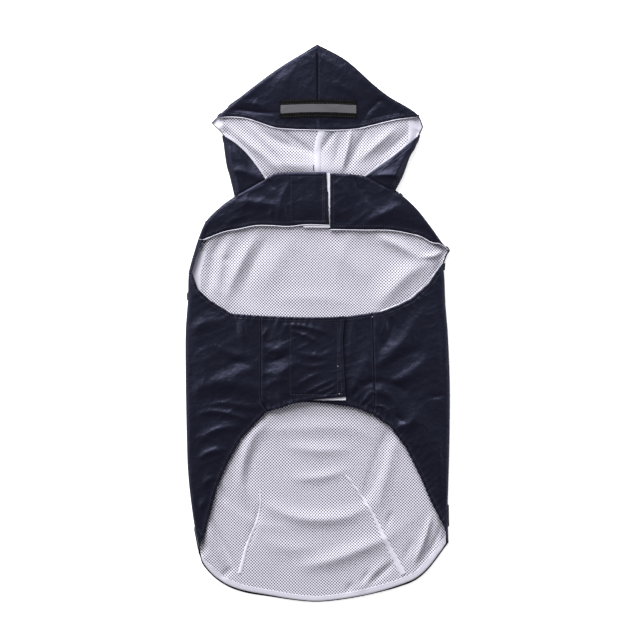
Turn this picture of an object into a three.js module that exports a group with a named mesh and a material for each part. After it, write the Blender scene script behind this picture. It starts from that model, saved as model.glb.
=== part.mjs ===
// Hooded dog raincoat laid on its back, belly side up, with the hood spread open above the neck.
// Millimetres: +X to the right, +Y from the hem towards the hood, +Z up.
// The back lies flat on the floor. At both sides the cloth folds over it and comes back as the
// chest straps, the side wraps and the belly flaps.
import * as THREE from 'three';

// Thickness of each layer, and the air between layers that touch
const CLOTH = 1.2;
const LINING = 1.0;
const TAPE = 1.0;
const SEAM = 0.3;
const HALF_SEAM = SEAM / 2;

// Loft of the coat as it lies: radius of the side folds, and how far the upper layer rises
const BODY_FOLD = 5;
const BODY_RISE = 1.5;
const BODY_RISE_REACH = 30;
const HOOD_FOLD = 4;
const CROWN_RISE = 12;
const CROWN_RISE_REACH = 62;
const HOOD_HALF_WIDTH = 121;
const CROWN_TAPER = 0.6; // share of the crown's rise that is lost towards its two corners
const HOOD_SIDE_RISE = 2;

// Sewn details
const HEM_FACING_MID = 7;
const HEM_FACING_SIDE = 15;
const HEM_TURN = 1.6;
const FACING_END = 6;
const FACING_CLEARANCE = 0.3;
const FACING_SEAM = 2; // along the length of the back, because it runs slantwise at the sides
const SEAM_TAPE = { left: -5, right: 5, top: 296, bottom: 160 };
const REFLECTIVE = { left: -42, right: 44.5, middle: 248, height: 10, base: 20.5, arch: 1.5 };
const CHEST_TAB = { left: -16, right: 18, top: 171.5, bottom: 109.5 };
const BELLY_TAPE = { left: -27, right: 32.5, top: 0, bottom: -88.5 };
const TAPE_CLEARANCE = 0.6;
const COLLAR_REACH = 30;
const FLAP_LIFT = 2.8;
const FLAP_LIFT_START = -62;
const FLAP_LIFT_END = -36;
const PUCKER = { height: 0.7, pitch: 24, reach: 14, slant: 0.6 };
const RIDGE_ENDS = 0.12; // share of a ridge's length by which its height has already begun to fall

// Fewest rows and columns that keep the folds round
const FOLD_STEPS = 3;
const POLYLINE_STEPS = 100;
const LONGEST_PIECE = 10;

const COLOURS = {
  shell: 0x1c1e2b,
  lining: 0xe6e4f2,
  tape: 0xf0eff8,
  silver: 0x7c7b80,
  black: 0x151518,
};

const table = (columns, rows) =>
  rows.map((row) => Object.fromEntries(columns.map((name, i) => [name, row[i]])));
const points = (rows) => table(['x', 'y'], rows);

// Outline of the body as it lies: side folds from the neck to the hem, the neck seam and the hem
const NECK_LEFT = [-95, 145];
const NECK_RIGHT = [89, 150.5];
const THROAT_LEFT = [-59.5, 165];
const THROAT_RIGHT = [54.7, 168];
const LEG_TIP = [151, 84];
const HEM_LEFT = [-136, -257];
const HEM_RIGHT = [150.5, -252];

const shoulderLeft = points([NECK_LEFT, [-109, 135], [-128, 116], [-136.5, 96.5]]);
const shoulderRight = points([NECK_RIGHT, [95.5, 147.5], [113, 132], [130.5, 110], [144.5, 90.5], LEG_TIP]);
const sideLeft = points([
  [-136.5, 96.5], [-143.5, 73.5], [-147.5, 57], [-148.5, 26], [-151, -8], [-151, -66],
  [-150, -123], [-148.5, -169], [-145, -204], [-140, -238], HEM_LEFT,
]);
const sideRight = points([
  LEG_TIP, [148, 76], [145, 66], [146, 49], [147, 21], [149.5, -8], [152, -66],
  [152, -112], [151, -163], [149.5, -215], HEM_RIGHT,
]);
const neckSeam = points([NECK_LEFT, [-50, 152], [0, 157], [50, 155], NECK_RIGHT]);
const hem = points([
  HEM_LEFT, [-133, -274], [-126, -284], [-115, -294.5], [-100, -303.5], [-82, -309.5],
  [-54, -314], [-23, -318.5], [0, -320], [31, -317], [63, -311], [93, -303],
  [112, -295.5], [126, -284], HEM_RIGHT,
]);

// Chest straps: the seam to the hood, the free end, and the edge above the leg opening
const strapTopLeft = points([NECK_LEFT, [-77.5, 154.5], THROAT_LEFT, [-48.5, 171], [-19.5, 172.5], [10.5, 173]]);
const strapBottomLeft = points([
  [-136.5, 96.5], [-131, 96], [-117, 101.5], [-105, 105.5], [-91, 108], [-71, 112],
  [-51, 112], [-34, 111], [-14, 113], [13, 112.5],
]);
const strapTopRight = points([[14.5, 171.5], [42.5, 170], THROAT_RIGHT, [70.5, 159.5], NECK_RIGHT]);
const strapBottomRight = points([
  [14.5, 107.5], [52, 107], [84.5, 106.5], [103, 103.5], [119.5, 99], [130.5, 93],
  [140.5, 91], LEG_TIP,
]);

// Side wraps: each row runs from the side fold, at foldY, to the free edge or seam at x, y
const wrapColumns = ['foldY', 'x', 'y'];
const wrapLeft = table(wrapColumns, [
  [96, -131, 95.5], [73.5, -139, 74], [57, -143.5, 58], [38, -136.5, 39], [22, -122.5, 26],
  [5, -98.5, 11], [-8, -80, 9.5], [-22, -65, 8.5], [-50, -65, -42], [-84, -65, -88],
  [-102, -57, -101.5], [-118, -67, -111], [-138, -87, -132.5], [-163, -102, -159],
  [-190, -114.5, -188], [-236, -127, -235], [-256, -134.5, -256],
]);
const wrapRight = table(wrapColumns, [
  [70, 143.5, 68.5], [60, 137, 59.5], [47, 127.5, 45.5], [33, 107.5, 28], [20, 93.5, 21],
  [6, 72.5, 13], [-8, 63, 12], [-50, 64.5, -42], [-84, 66, -92], [-100, 63.5, -105],
  [-114, 82.5, -118], [-142, 101, -142.5], [-176, 117.5, -175.5], [-205, 130, -204.5],
  [-235, 145, -233], [-250, 149.5, -249],
]);

// Rows of the side wraps that have elastic in their free edge, by their foldY
const LEG_TOP = 50;
const LEG_FOOT = -22;
const ARCH_TOP = -100;
const ARCH_FOOT = -260;

// Belly flaps: top edge by the leg opening, seam to the wrap, free end and edge of the arch
const bellyLeft = {
  top: points([[-65, 8.5], [-46, 7.7], [-19.5, 6.8], [15, 7], [31.5, 8]]),
  bottom: points([[-57, -101.5], [-42.5, -97.5], [-31, -93.5], [-6, -88.5], [32.5, -84.5]]),
  seam: points([[-65, 8.5], [-65, -42], [-65, -88], [-57, -101.5]]),
  end: points([[31.5, 8], [29, -20], [30.8, -55], [32.5, -84.5]]),
};
const bellyRight = {
  top: points([[-31, 5.5], [0, 6], [31.5, 7.5], [56.5, 11], [63, 12]]),
  bottom: points([[-31, -91], [-11.5, -90.5], [10, -92], [27.5, -94.5], [42.5, -97], [63.5, -105]]),
  end: points([[-31, 5.5], [-31, -42], [-31, -91]]),
  seam: points([[63, 12], [64.5, -42], [66, -92], [63.5, -105]]),
};

// Hood: two halves that meet at the centre seam, spread so that the crown lies over the back half
const PEAK = [0, 319];
const BROW = [0, 221.5];
const EAR_LEFT = [-121.5, 229.5];
const EAR_RIGHT = [121.5, 225];
const hoodLeft = {
  crownFold: points([PEAK, [-46, 291], [-99.5, 250], [-112, 239], EAR_LEFT]),
  crownEnd: points([[-114.5, 236.7], [-113.3, 235.6]]),
  crownEdge: points([BROW, [-29, 222.5], [-50, 224.5], [-66, 230], [-82, 235], [-98, 236.6], [-113.3, 235.6]]),
  back: points([EAR_LEFT, [-108, 215], [-107, 201], [-103.5, 178], [-101, 170], NECK_LEFT]),
  sideFold: points([[-108, 215], [-107, 201], [-103.5, 178], [-101, 170], NECK_LEFT]),
  faceEdge: points([[-106.5, 214.2], [-95.5, 207.5], [-82, 195.5], [-70, 180.5], THROAT_LEFT]),
};
const hoodRight = {
  crownFold: points([PEAK, [32, 302], [64.5, 273.5], [79.5, 261.5], [115.5, 238.5], EAR_RIGHT]),
  crownEnd: points([[116.5, 237.3], [114.6, 236.2]]),
  crownEdge: points([BROW, [24, 221.5], [48.5, 223.5], [63, 227], [90.5, 233.5], [114.6, 236.2]]),
  back: points([EAR_RIGHT, [117, 215.5], [112, 200], [107, 192], [98, 168], NECK_RIGHT]),
  sideFold: points([[117, 215.5], [112, 200], [107, 192], [98, 168], NECK_RIGHT]),
  faceEdge: points([[115.6, 214.6], [105.5, 206.5], [86.5, 191], [69, 178.5], THROAT_RIGHT]),
};

// Rump darts, sewn with tape on the lining: centre line from the rump to the hem facing
const dartLeft = table(['x', 'y', 'width'], [
  [-64.5, -192, 2], [-70, -216, 4], [-74, -238, 6.5], [-82, -265, 8], [-91, -286, 9],
]);
const dartRight = table(['x', 'y', 'width'], [
  [36, -175, 2], [47, -194, 4], [60.5, -216.5, 6], [68, -232, 7], [79, -262, 8.5], [98, -285, 9.5],
]);

// Largest soft folds: a ridge from x1, y1 to x2, y2, with its half width and height
const foldColumns = ['x1', 'y1', 'x2', 'y2', 'width', 'height'];
const upperFolds = table(foldColumns, [
  [112, 12, 70, -48, 8, 1.6],
  [54, -50, 34, -86, 6, 1.2],
  [-131, -100, -80, -114, 6, 1.4],
  [-136, -122, -98, -122, 6, 1.2],
  [-140, -160, -112, -140, 6, 1.3],
  [-128, -20, -92, -70, 9, 1.2],
  [84, -70, 112, -118, 7, 1.4],
  [140, -60, 118, -150, 8, 1.2],
  [-95, 2, -88, -60, 8, 1.0],
  [44, 166, 56, 144, 6, 1.5],
  [-45, 135, -33, 112, 6, 1.2],
  [102, 140, 70, 118, 8, 1.1],
]);
const liningFolds = table(foldColumns, [
  [-107, 103, -125, 36, 9, 3],
  [77, -124, 50, -190, 10, 3],
  [-124, -225, -106, -274, 8, 2.5],
  [60, 95, 140, 72, 9, 2],
  [104, -190, 120, -262, 9, 2],
  [-40, -130, -84, -200, 10, 1.6],
]);
const hoodFolds = table(foldColumns, [
  [68, 168, 99, 168, 4, 1.6],
  [-88, 192, -74, 158, 6, 1.2],
  [-40, 300, -20, 250, 9, 1.2],
  [44, 270, 30, 232, 9, 1.0],
]);
const hoodLiningFolds = table(foldColumns, [
  [-18, 205, -62, 176, 8, 2],
  [20, 205, 62, 182, 8, 2],
]);

// A smooth curve through the rows of a table, given by its length from 0 to 1
function edge(rows) {
  const curve = new THREE.CatmullRomCurve3(rows.map((p) => new THREE.Vector3(p.x, p.y, 0)), false, 'centripetal');
  return (t) => curve.getPointAt(THREE.MathUtils.clamp(t, 0, 1));
}

// A straight-sided curve whose rows are spaced evenly from 0 to 1, for edges with corners
function stations(rows) {
  return (t) => {
    const at = THREE.MathUtils.clamp(t, 0, 1) * (rows.length - 1);
    const i = Math.min(Math.floor(at), rows.length - 2);
    const mix = at - i;
    const [a, b] = [rows[i], rows[i + 1]];
    return new THREE.Vector3(THREE.MathUtils.lerp(a.x, b.x, mix), THREE.MathUtils.lerp(a.y, b.y, mix), 0);
  };
}

// The stretch of a curve between two of its lengths, run in either direction
const stretch = (curve, from, to) => (t) => curve(THREE.MathUtils.lerp(from, to, t));

// How far along a curve it comes nearest to a value of x
function lengthAtX(curve, x) {
  const places = Array.from({ length: POLYLINE_STEPS * 4 + 1 }, (_, i) => i / (POLYLINE_STEPS * 4));
  return places.reduce((best, t) => (Math.abs(curve(t).x - x) < Math.abs(curve(best).x - x) ? t : best));
}

// A curve as short straight pieces, for measuring distances to it
function polyline(...curves) {
  return curves.flatMap((curve) =>
    Array.from({ length: POLYLINE_STEPS + 1 }, (_, i) => curve(i / POLYLINE_STEPS)));
}

// Distance from x, y to a straight segment, and how far along it the nearest point lies
function segmentDistance(x, y, f) {
  const [dx, dy] = [f.x2 - f.x1, f.y2 - f.y1];
  const along = ((x - f.x1) * dx + (y - f.y1) * dy) / Math.max(dx * dx + dy * dy, 1e-9);
  const near = THREE.MathUtils.clamp(along, 0, 1);
  return { along, distance: Math.hypot(x - f.x1 - near * dx, y - f.y1 - near * dy) };
}

// Distance from x, y to the nearest of some short straight pieces
const distanceTo = (line) => {
  const pieces = line.slice(1).map((p, i) => ({ x1: line[i].x, y1: line[i].y, x2: p.x, y2: p.y }))
    .filter((f) => Math.hypot(f.x2 - f.x1, f.y2 - f.y1) < LONGEST_PIECE);
  return (x, y) => pieces.reduce((best, f) => Math.min(best, segmentDistance(x, y, f).distance), Infinity);
};

// Height of all the ridges of a table at x, y: bell-shaped across, fading to both ends
function ridges(folds) {
  return (x, y) => folds.reduce((sum, f) => {
    const { along, distance } = segmentDistance(x, y, f);
    const inside = THREE.MathUtils.lerp(RIDGE_ENDS, 1 - RIDGE_ENDS, along);
    const fade = Math.sin(Math.PI * THREE.MathUtils.clamp(inside, 0, 1));
    return sum + f.height * fade * Math.exp(-((distance / f.width) ** 2));
  }, 0);
}

// A four-sided panel of cloth seen from above: start and end run along u, left and right along v
function panel({ start, end, left, right }) {
  const corner = { a: start(0), b: start(1), c: end(0), d: end(1) };
  return (u, v) => {
    const across = start(u).multiplyScalar(1 - v).add(end(u).multiplyScalar(v));
    const down = left(v).multiplyScalar(1 - u).add(right(v).multiplyScalar(u));
    const bilinear = corner.a.clone().multiplyScalar((1 - u) * (1 - v))
      .addScaledVector(corner.b, u * (1 - v))
      .addScaledVector(corner.c, (1 - u) * v)
      .addScaledVector(corner.d, u * v);
    return across.add(down).sub(bilinear);
  };
}

// Lays a flat panel on a height, which is worked out from x and y
const raise = (flat, height) => (u, v) => {
  const p = flat(u, v);
  return new THREE.Vector3(p.x, p.y, height(p.x, p.y));
};

// Height of a cloth that comes round a fold: the lower quarter turn, or the upper one
const lowerTurn = (radius, distance) =>
  distance < radius ? radius - Math.sqrt(radius ** 2 - (radius - distance) ** 2) : 0;
const upperTurn = (radius, distance) =>
  SEAM + radius + (distance < radius ? Math.sqrt(radius ** 2 - (radius - distance) ** 2) : radius);

const foldLeft = edge([...shoulderLeft, ...sideLeft.slice(1)]);
const foldRight = edge([...shoulderRight, ...sideRight.slice(1)]);
const bodyFoldDistance = distanceTo(polyline(foldLeft, foldRight));
const hoodFoldDistance = distanceTo(polyline(
  edge(hoodLeft.crownFold), edge(hoodRight.crownFold), edge(hoodLeft.sideFold), edge(hoodRight.sideFold)));
const rowsBetween = (rows, high, low) => rows.filter((r) => r.foldY <= high && r.foldY >= low);
const archDistance = distanceTo(polyline(
  stations(rowsBetween(wrapLeft, ARCH_TOP, ARCH_FOOT)), stations(rowsBetween(wrapRight, ARCH_TOP, ARCH_FOOT))));
const legDistance = distanceTo(polyline(
  stations(rowsBetween(wrapLeft, LEG_TOP, LEG_FOOT)), stations(rowsBetween(wrapRight, LEG_TOP, LEG_FOOT))));

const collarLeft = stretch(edge(strapTopLeft), 0, lengthAtX(edge(strapTopLeft), THROAT_LEFT[0]));
const collarRight = stretch(edge(strapTopRight), 1, lengthAtX(edge(strapTopRight), THROAT_RIGHT[0]));
const collarDistance = distanceTo(polyline(collarLeft, collarRight));

const upperRidges = ridges(upperFolds);
const liningRidges = ridges(liningFolds);
const hoodRidges = ridges(hoodFolds);
const hoodLiningRidges = ridges(hoodLiningFolds);

// Small waves that the elastic draws into the cloth beside the arch and the leg opening
function puckers(x, y) {
  const near = Math.min(archDistance(x, y), legDistance(x, y));
  const wave = 0.5 + 0.5 * Math.cos(2 * Math.PI * (x * PUCKER.slant + y) / PUCKER.pitch);
  return PUCKER.height * wave * Math.exp(-near / PUCKER.reach);
}

// Ridges fade out over the first millimetres from a fold, so that the fold stays whole
const awayFromFold = (distance, radius) => THREE.MathUtils.smoothstep(distance, radius * 0.5, radius * 3);

const backHeight = (x, y) => lowerTurn(BODY_FOLD, bodyFoldDistance(x, y));
function upperHeight(x, y) {
  const distance = bodyFoldDistance(x, y);
  const rise = BODY_RISE * (1 - Math.exp(-distance / BODY_RISE_REACH));
  const relief = (upperRidges(x, y) + puckers(x, y)) * awayFromFold(distance, BODY_FOLD);
  return upperTurn(BODY_FOLD, distance) + rise + relief;
}
const liftedHeight = (x, y) =>
  upperHeight(x, y) + FLAP_LIFT * THREE.MathUtils.smoothstep(x, FLAP_LIFT_START, FLAP_LIFT_END);
const hoodBackHeight = (x, y) => lowerTurn(HOOD_FOLD, hoodFoldDistance(x, y));
const hoodLiningHeight = (x, y) => hoodBackHeight(x, y) + hoodLiningRidges(x, y);
function crownHeight(x, y) {
  const distance = hoodFoldDistance(x, y);
  const rise = CROWN_RISE * Math.sin((Math.PI / 2) * Math.min(1, distance / CROWN_RISE_REACH));
  const taper = 1 - CROWN_TAPER * (x / HOOD_HALF_WIDTH) ** 2;
  return upperTurn(HOOD_FOLD, distance) + (rise * taper + hoodRidges(x, y)) * awayFromFold(distance, HOOD_FOLD);
}
// The side of the hood starts at the hood's fold and ends level with the chest strap
function hoodSideHeight(x, y) {
  const distance = hoodFoldDistance(x, y);
  const collar = 1 - THREE.MathUtils.smoothstep(collarDistance(x, y), 0, COLLAR_REACH);
  const top = THREE.MathUtils.lerp(upperTurn(HOOD_FOLD, distance) + HOOD_SIDE_RISE, upperHeight(x, y), collar);
  const turn = THREE.MathUtils.smoothstep(distance, 0, HOOD_FOLD * 2);
  return THREE.MathUtils.lerp(upperTurn(HOOD_FOLD, distance), top, turn) + hoodRidges(x, y) * turn;
}

// Steps from 0 to 1 across a given length, closer together where the cloth turns round a fold
function steps(count, length, { foldStart = 0, foldEnd = 0, trimStart = 0, trimEnd = 0 } = {}) {
  const turn = (radius, trim) =>
    [trim, ...Array.from({ length: FOLD_STEPS }, (_, i) => radius * (1 - Math.cos((Math.PI / 2) * (i / FOLD_STEPS))))
      .filter((d) => d > trim)];
  const from = foldStart || trimStart;
  const to = length - (foldEnd || trimEnd);
  const middle = Array.from({ length: count + 1 }, (_, i) => THREE.MathUtils.lerp(from, to, i / count));
  const head = foldStart ? turn(foldStart, trimStart) : [];
  const tail = foldEnd ? turn(foldEnd, trimEnd).map((d) => length - d).reverse() : [];
  return [...head, ...middle, ...tail].map((d) => d / length);
}

// Unit vector square to a surface at u, v
const squareTo = (surface, u, v) => {
  const step = 1e-3;
  const [u0, u1] = [Math.max(u - step, 0), Math.min(u + step, 1)];
  const [v0, v1] = [Math.max(v - step, 0), Math.min(v + step, 1)];
  const du = surface(u1, v).sub(surface(u0, v));
  const dv = surface(u, v1).sub(surface(u, v0));
  return du.cross(dv).normalize();
};

// A closed wall between two distances from a surface, both measured into the garment.
// faces is 1 where the outside of the surface looks up and -1 where it looks at the floor.
// half keeps the wall on one side of the centre seam: -1 on the left of it, 1 on the right.
function wall(name, colour, surface, us, vs, { faces, near, far, half = 0 }) {
  const columns = us.length;
  const rows = vs.length;
  const count = columns * rows;
  const positions = new Float32Array(count * 6);
  vs.forEach((v, j) => us.forEach((u, i) => {
    const p = surface(u, v);
    const n = squareTo(surface, u, v);
    if (n.z * faces < 0) n.negate();
    const at = j * columns + i;
    [near, far].forEach((depth, side) => {
      const q = p.clone().addScaledVector(n, -depth);
      if (half) q.x = half * Math.max(half * q.x, HALF_SEAM);
      q.toArray(positions, (side * count + at) * 3);
    });
  }));
  const index = [];
  const quad = (a, b, c, d) => index.push(a, b, c, a, c, d);
  for (let j = 0; j + 1 < rows; j += 1) {
    for (let i = 0; i + 1 < columns; i += 1) {
      const a = j * columns + i;
      quad(a, a + 1, a + 1 + columns, a + columns);
      quad(count + a, count + a + columns, count + a + 1 + columns, count + a + 1);
    }
  }
  const rim = [
    ...Array.from({ length: columns }, (_, i) => i),
    ...Array.from({ length: rows - 1 }, (_, j) => (j + 2) * columns - 1),
    ...Array.from({ length: columns - 1 }, (_, i) => rows * columns - 2 - i),
    ...Array.from({ length: rows - 2 }, (_, j) => (rows - 2 - j) * columns),
  ];
  rim.forEach((a, k) => {
    const b = rim[(k + 1) % rim.length];
    quad(a, count + a, count + b, b);
  });
  const geometry = new THREE.BufferGeometry();
  geometry.setAttribute('position', new THREE.BufferAttribute(positions, 3));
  geometry.setIndex(faceOut(positions, index));
  geometry.computeVertexNormals();
  const material = new THREE.MeshStandardMaterial({ color: colour, roughness: 0.7, metalness: 0 });
  const mesh = new THREE.Mesh(geometry, material);
  mesh.name = name;
  return mesh;
}

// Turns the triangles round where they enclose a negative volume
function faceOut(positions, index) {
  const at = (i) => new THREE.Vector3().fromArray(positions, i * 3);
  let volume = 0;
  for (let i = 0; i < index.length; i += 3) {
    volume += at(index[i]).dot(at(index[i + 1]).cross(at(index[i + 2])));
  }
  if (volume > 0) return index;
  return index.map((_, i) => index[i - (i % 3) + (2 - (i % 3))]);
}

const OUTER = { near: 0, far: CLOTH };
const INNER = { near: CLOTH + SEAM, far: CLOTH + SEAM + LINING };
const up = { faces: 1 };
const down = { faces: -1 };

// Width and length of each panel, which space its columns and rows
const BACK_WIDTH = 290;
const BACK_LENGTH = 460;
const STRAP = { left: 140, right: 115, height: 60 };
const WRAP = { width: 75, length: 370 };
const FLAP = { width: 95, height: 95 };
const HOOD = { backWidth: 125, backHeight: 120, crownWidth: 140, crownHeight: 80, sideWidth: 35, sideHeight: 60 };
const LINING_INSET = 2;

// Back of the coat and its lining, in one piece from side fold to side fold
const backFlat = panel({
  start: edge(neckSeam),
  end: edge(hem),
  left: foldLeft,
  right: foldRight,
});
const backAcross = steps(15, BACK_WIDTH, { foldStart: BODY_FOLD, foldEnd: BODY_FOLD });
const backAlong = steps(22, BACK_LENGTH, { trimStart: HALF_SEAM, trimEnd: HEM_FACING_SIDE + FACING_SEAM });

function backShell() {
  const along = [...backAlong, 1];
  return wall('back_shell', COLOURS.shell, raise(backFlat, backHeight), backAcross, along, { ...down, ...OUTER });
}

// The lining follows the shell and rises in soft folds of its own
function liningHeight(x, y) {
  const distance = bodyFoldDistance(x, y);
  return lowerTurn(BODY_FOLD, distance) + liningRidges(x, y) * awayFromFold(distance, BODY_FOLD);
}

// The facing inside the hem is narrow at the middle of the back and wider to the sides
const facingWidth = (u) => THREE.MathUtils.lerp(HEM_FACING_MID, HEM_FACING_SIDE, Math.abs(2 * u - 1) ** 1.5);

function backLining() {
  const end = (u) => 1 - (facingWidth(u) + FACING_SEAM) / BACK_LENGTH;
  const flat = (u, v) => backFlat(u, (v * end(u)) / end(0));
  return wall('back_lining', COLOURS.lining, raise(flat, liningHeight), backAcross, backAlong,
    { ...down, ...INNER });
}

function hemFacing() {
  const across = backAcross.filter((u) => Math.min(u, 1 - u) * BACK_WIDTH > FACING_END);
  const flat = (u, v) => backFlat(u, 1 - THREE.MathUtils.lerp(facingWidth(u), HEM_TURN, v) / BACK_LENGTH);
  return wall('hem_facing', COLOURS.tape, raise(flat, liningHeight), across, [0, 1],
    { ...down, near: INNER.near + FACING_CLEARANCE, far: INNER.far + FACING_CLEARANCE });
}

// A tape whose width changes along its centre line
function tapeStrip(rows) {
  const centre = edge(rows);
  const widths = stations(rows.map((r) => ({ x: r.width, y: 0 })));
  return (u, v) => {
    const direction = centre(v + 0.01).sub(centre(v - 0.01)).normalize();
    return centre(v).add(new THREE.Vector3(direction.y, -direction.x, 0).multiplyScalar((u - 0.5) * widths(v).x));
  };
}

function dartTape(name, rows) {
  const onLining = { near: INNER.far + TAPE_CLEARANCE, far: INNER.far + TAPE_CLEARANCE + TAPE };
  return wall(name, COLOURS.tape, raise(tapeStrip(rows), liningHeight), [0, 1], steps(14, 1), { ...down, ...onLining });
}

// Chest straps
function strapLeft() {
  const flat = panel({
    start: edge(strapTopLeft),
    end: edge(strapBottomLeft),
    left: edge(shoulderLeft),
    right: stations([strapTopLeft.at(-1), strapBottomLeft.at(-1)]),
  });
  const across = steps(14, STRAP.left, { foldStart: BODY_FOLD });
  const along = steps(9, STRAP.height, { trimStart: HALF_SEAM, trimEnd: HALF_SEAM });
  return wall('chest_strap_left', COLOURS.shell, raise(flat, upperHeight), across, along, { ...up, ...OUTER });
}

function strapRight() {
  const flat = panel({
    start: edge(strapTopRight),
    end: edge(strapBottomRight),
    left: stations([strapTopRight[0], strapBottomRight[0]]),
    right: edge(shoulderRight),
  });
  const across = steps(13, STRAP.right, { foldEnd: BODY_FOLD });
  const along = steps(9, STRAP.height, { trimStart: HALF_SEAM });
  return wall('chest_strap_right', COLOURS.shell, raise(flat, upperHeight), across, along, { ...up, ...OUTER });
}

// Side wraps, from the side fold to the leg opening, the belly seam and the arch
function sideWrap(name, rows, side) {
  const foldPoint = crossing(side);
  const flat = panel({
    start: stations([foldPoint(rows[0].foldY), rows[0]]),
    end: stations([foldPoint(rows.at(-1).foldY), rows.at(-1)]),
    left: stations(rows.map((r) => foldPoint(r.foldY))),
    right: stations(rows),
  });
  const across = steps(7, WRAP.width, { foldStart: BODY_FOLD, trimEnd: HALF_SEAM });
  const along = steps((rows.length - 1) * 2, WRAP.length, { trimStart: HALF_SEAM });
  return wall(name, COLOURS.shell, raise(flat, upperHeight), across, along, { ...up, ...OUTER });
}

// The point of a side fold at a given y
function crossing(side) {
  const line = polyline(edge(side));
  return (y) => line.reduce((best, p) => (Math.abs(p.y - y) < Math.abs(best.y - y) ? p : best));
}

// Belly flaps: the left one lies over the right one and over the loop tape between them
function bellyFlap(name, { top, bottom }, left, right, height, trims) {
  const flat = panel({ start: edge(top), end: edge(bottom), left: stations(left), right: stations(right) });
  return wall(name, COLOURS.shell, raise(flat, height), steps(10, FLAP.width, trims), steps(10, FLAP.height),
    { ...up, ...OUTER });
}

const bellyFlapLeft = () =>
  bellyFlap('belly_flap_left', bellyLeft, bellyLeft.seam, bellyLeft.end, liftedHeight, { trimStart: HALF_SEAM });
const bellyFlapRight = () =>
  bellyFlap('belly_flap_right', bellyRight, bellyRight.end, bellyRight.seam, upperHeight, { trimEnd: HALF_SEAM });

// A straight rectangle of cloth seen from above
const rectangle = ({ left, right, top, bottom }) => (u, v) =>
  new THREE.Vector3(THREE.MathUtils.lerp(left, right, u), THREE.MathUtils.lerp(top, bottom, v), 0);

function bellyLoopTape() {
  const onFlap = { near: -SEAM - TAPE, far: -SEAM };
  return wall('belly_loop_tape', COLOURS.tape, raise(rectangle(BELLY_TAPE), upperHeight), steps(6, 1), steps(9, 1),
    { ...up, ...onFlap });
}

function chestLoopTab() {
  const underStrap = { near: CLOTH + SEAM, far: CLOTH + SEAM + TAPE };
  return wall('chest_loop_tab', COLOURS.tape, raise(rectangle(CHEST_TAB), upperHeight), steps(4, 1), steps(8, 1),
    { ...up, ...underStrap });
}

// One half of the hood: the half that lies on the floor, its lining, the crown and the side
function hoodHalf(hand, half, neck, collar, sideSign) {
  const backFlat = panel({
    start: edge(half.crownFold),
    end: neck,
    left: stations([half.crownFold[0], neck(0)]),
    right: edge(half.back),
  });
  const crownFlat = panel({
    start: edge([...half.crownFold.slice(0, -1), half.crownEnd[0]]),
    end: edge(half.crownEdge),
    left: stations([half.crownFold[0], half.crownEdge[0]]),
    right: stations(half.crownEnd),
  });
  const sideFlat = panel({
    start: stations([half.sideFold[0], half.faceEdge[0]]),
    end: collar,
    left: edge(half.sideFold),
    right: edge(half.faceEdge),
  });
  const floorAcross = steps(6, HOOD.backWidth, { foldEnd: HOOD_FOLD });
  const floorAlong = steps(8, HOOD.backHeight, { foldStart: HOOD_FOLD, trimEnd: HALF_SEAM });
  const liningAcross = steps(6, HOOD.backWidth, { foldEnd: HOOD_FOLD, trimEnd: LINING_INSET });
  const liningAlong = steps(8, HOOD.backHeight, { foldStart: HOOD_FOLD, trimEnd: SEAM });
  const keep = { half: sideSign };
  return [
    wall(`hood_back_${hand}`, COLOURS.shell, raise(backFlat, hoodBackHeight), floorAcross, floorAlong,
      { ...down, ...OUTER, ...keep }),
    wall(`hood_lining_${hand}`, COLOURS.lining, raise(backFlat, hoodLiningHeight), liningAcross, liningAlong,
      { ...down, ...INNER, ...keep }),
    wall(`hood_crown_${hand}`, COLOURS.shell, raise(crownFlat, crownHeight), steps(10, HOOD.crownWidth),
      steps(6, HOOD.crownHeight, { foldStart: HOOD_FOLD }), { ...up, ...OUTER, ...keep }),
    wall(`hood_side_${hand}`, COLOURS.shell, raise(sideFlat, hoodSideHeight),
      steps(4, HOOD.sideWidth, { foldStart: HOOD_FOLD }), steps(8, HOOD.sideHeight, { trimEnd: HALF_SEAM }),
      { ...up, ...OUTER }),
  ];
}

function hoodSeamTape() {
  const onLining = { near: INNER.far + TAPE_CLEARANCE, far: INNER.far + TAPE_CLEARANCE + TAPE };
  return wall('hood_seam_tape', COLOURS.tape, raise(rectangle(SEAM_TAPE), hoodLiningHeight), [0, 0.5, 1], steps(14, 1),
    { ...down, ...onLining });
}

// Reflective tape across the crown: a black base with a silver strip along its middle
function crownTape(name, colour, height, near, far) {
  const flat = (u, v) => {
    const x = THREE.MathUtils.lerp(REFLECTIVE.left, REFLECTIVE.right, u);
    const arch = REFLECTIVE.arch * Math.sin(Math.PI * u);
    return new THREE.Vector3(x, REFLECTIVE.middle + arch + (0.5 - v) * height, 0);
  };
  return wall(name, colour, raise(flat, crownHeight), steps(16, 1), [0, 0.5, 1], { ...up, near, far });
}

const neck = edge(neckSeam);
const nape = lengthAtX(neck, 0);
const coat = new THREE.Group();
coat.add(
  backShell(),
  backLining(),
  hemFacing(),
  dartTape('dart_tape_left', dartLeft),
  dartTape('dart_tape_right', dartRight),
  strapLeft(),
  strapRight(),
  chestLoopTab(),
  sideWrap('side_wrap_left', wrapLeft, sideLeft),
  sideWrap('side_wrap_right', wrapRight, sideRight),
  bellyFlapLeft(),
  bellyFlapRight(),
  bellyLoopTape(),
  ...hoodHalf('left', hoodLeft, stretch(neck, nape, 0), collarLeft, -1),
  ...hoodHalf('right', hoodRight, stretch(neck, nape, 1), collarRight, 1),
  hoodSeamTape(),
  crownTape('reflective_base', COLOURS.black, REFLECTIVE.base, -SEAM - TAPE, -SEAM),
  crownTape('reflective_strip', COLOURS.silver, REFLECTIVE.height, -2 * (SEAM + TAPE), -2 * SEAM - TAPE),
);

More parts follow.
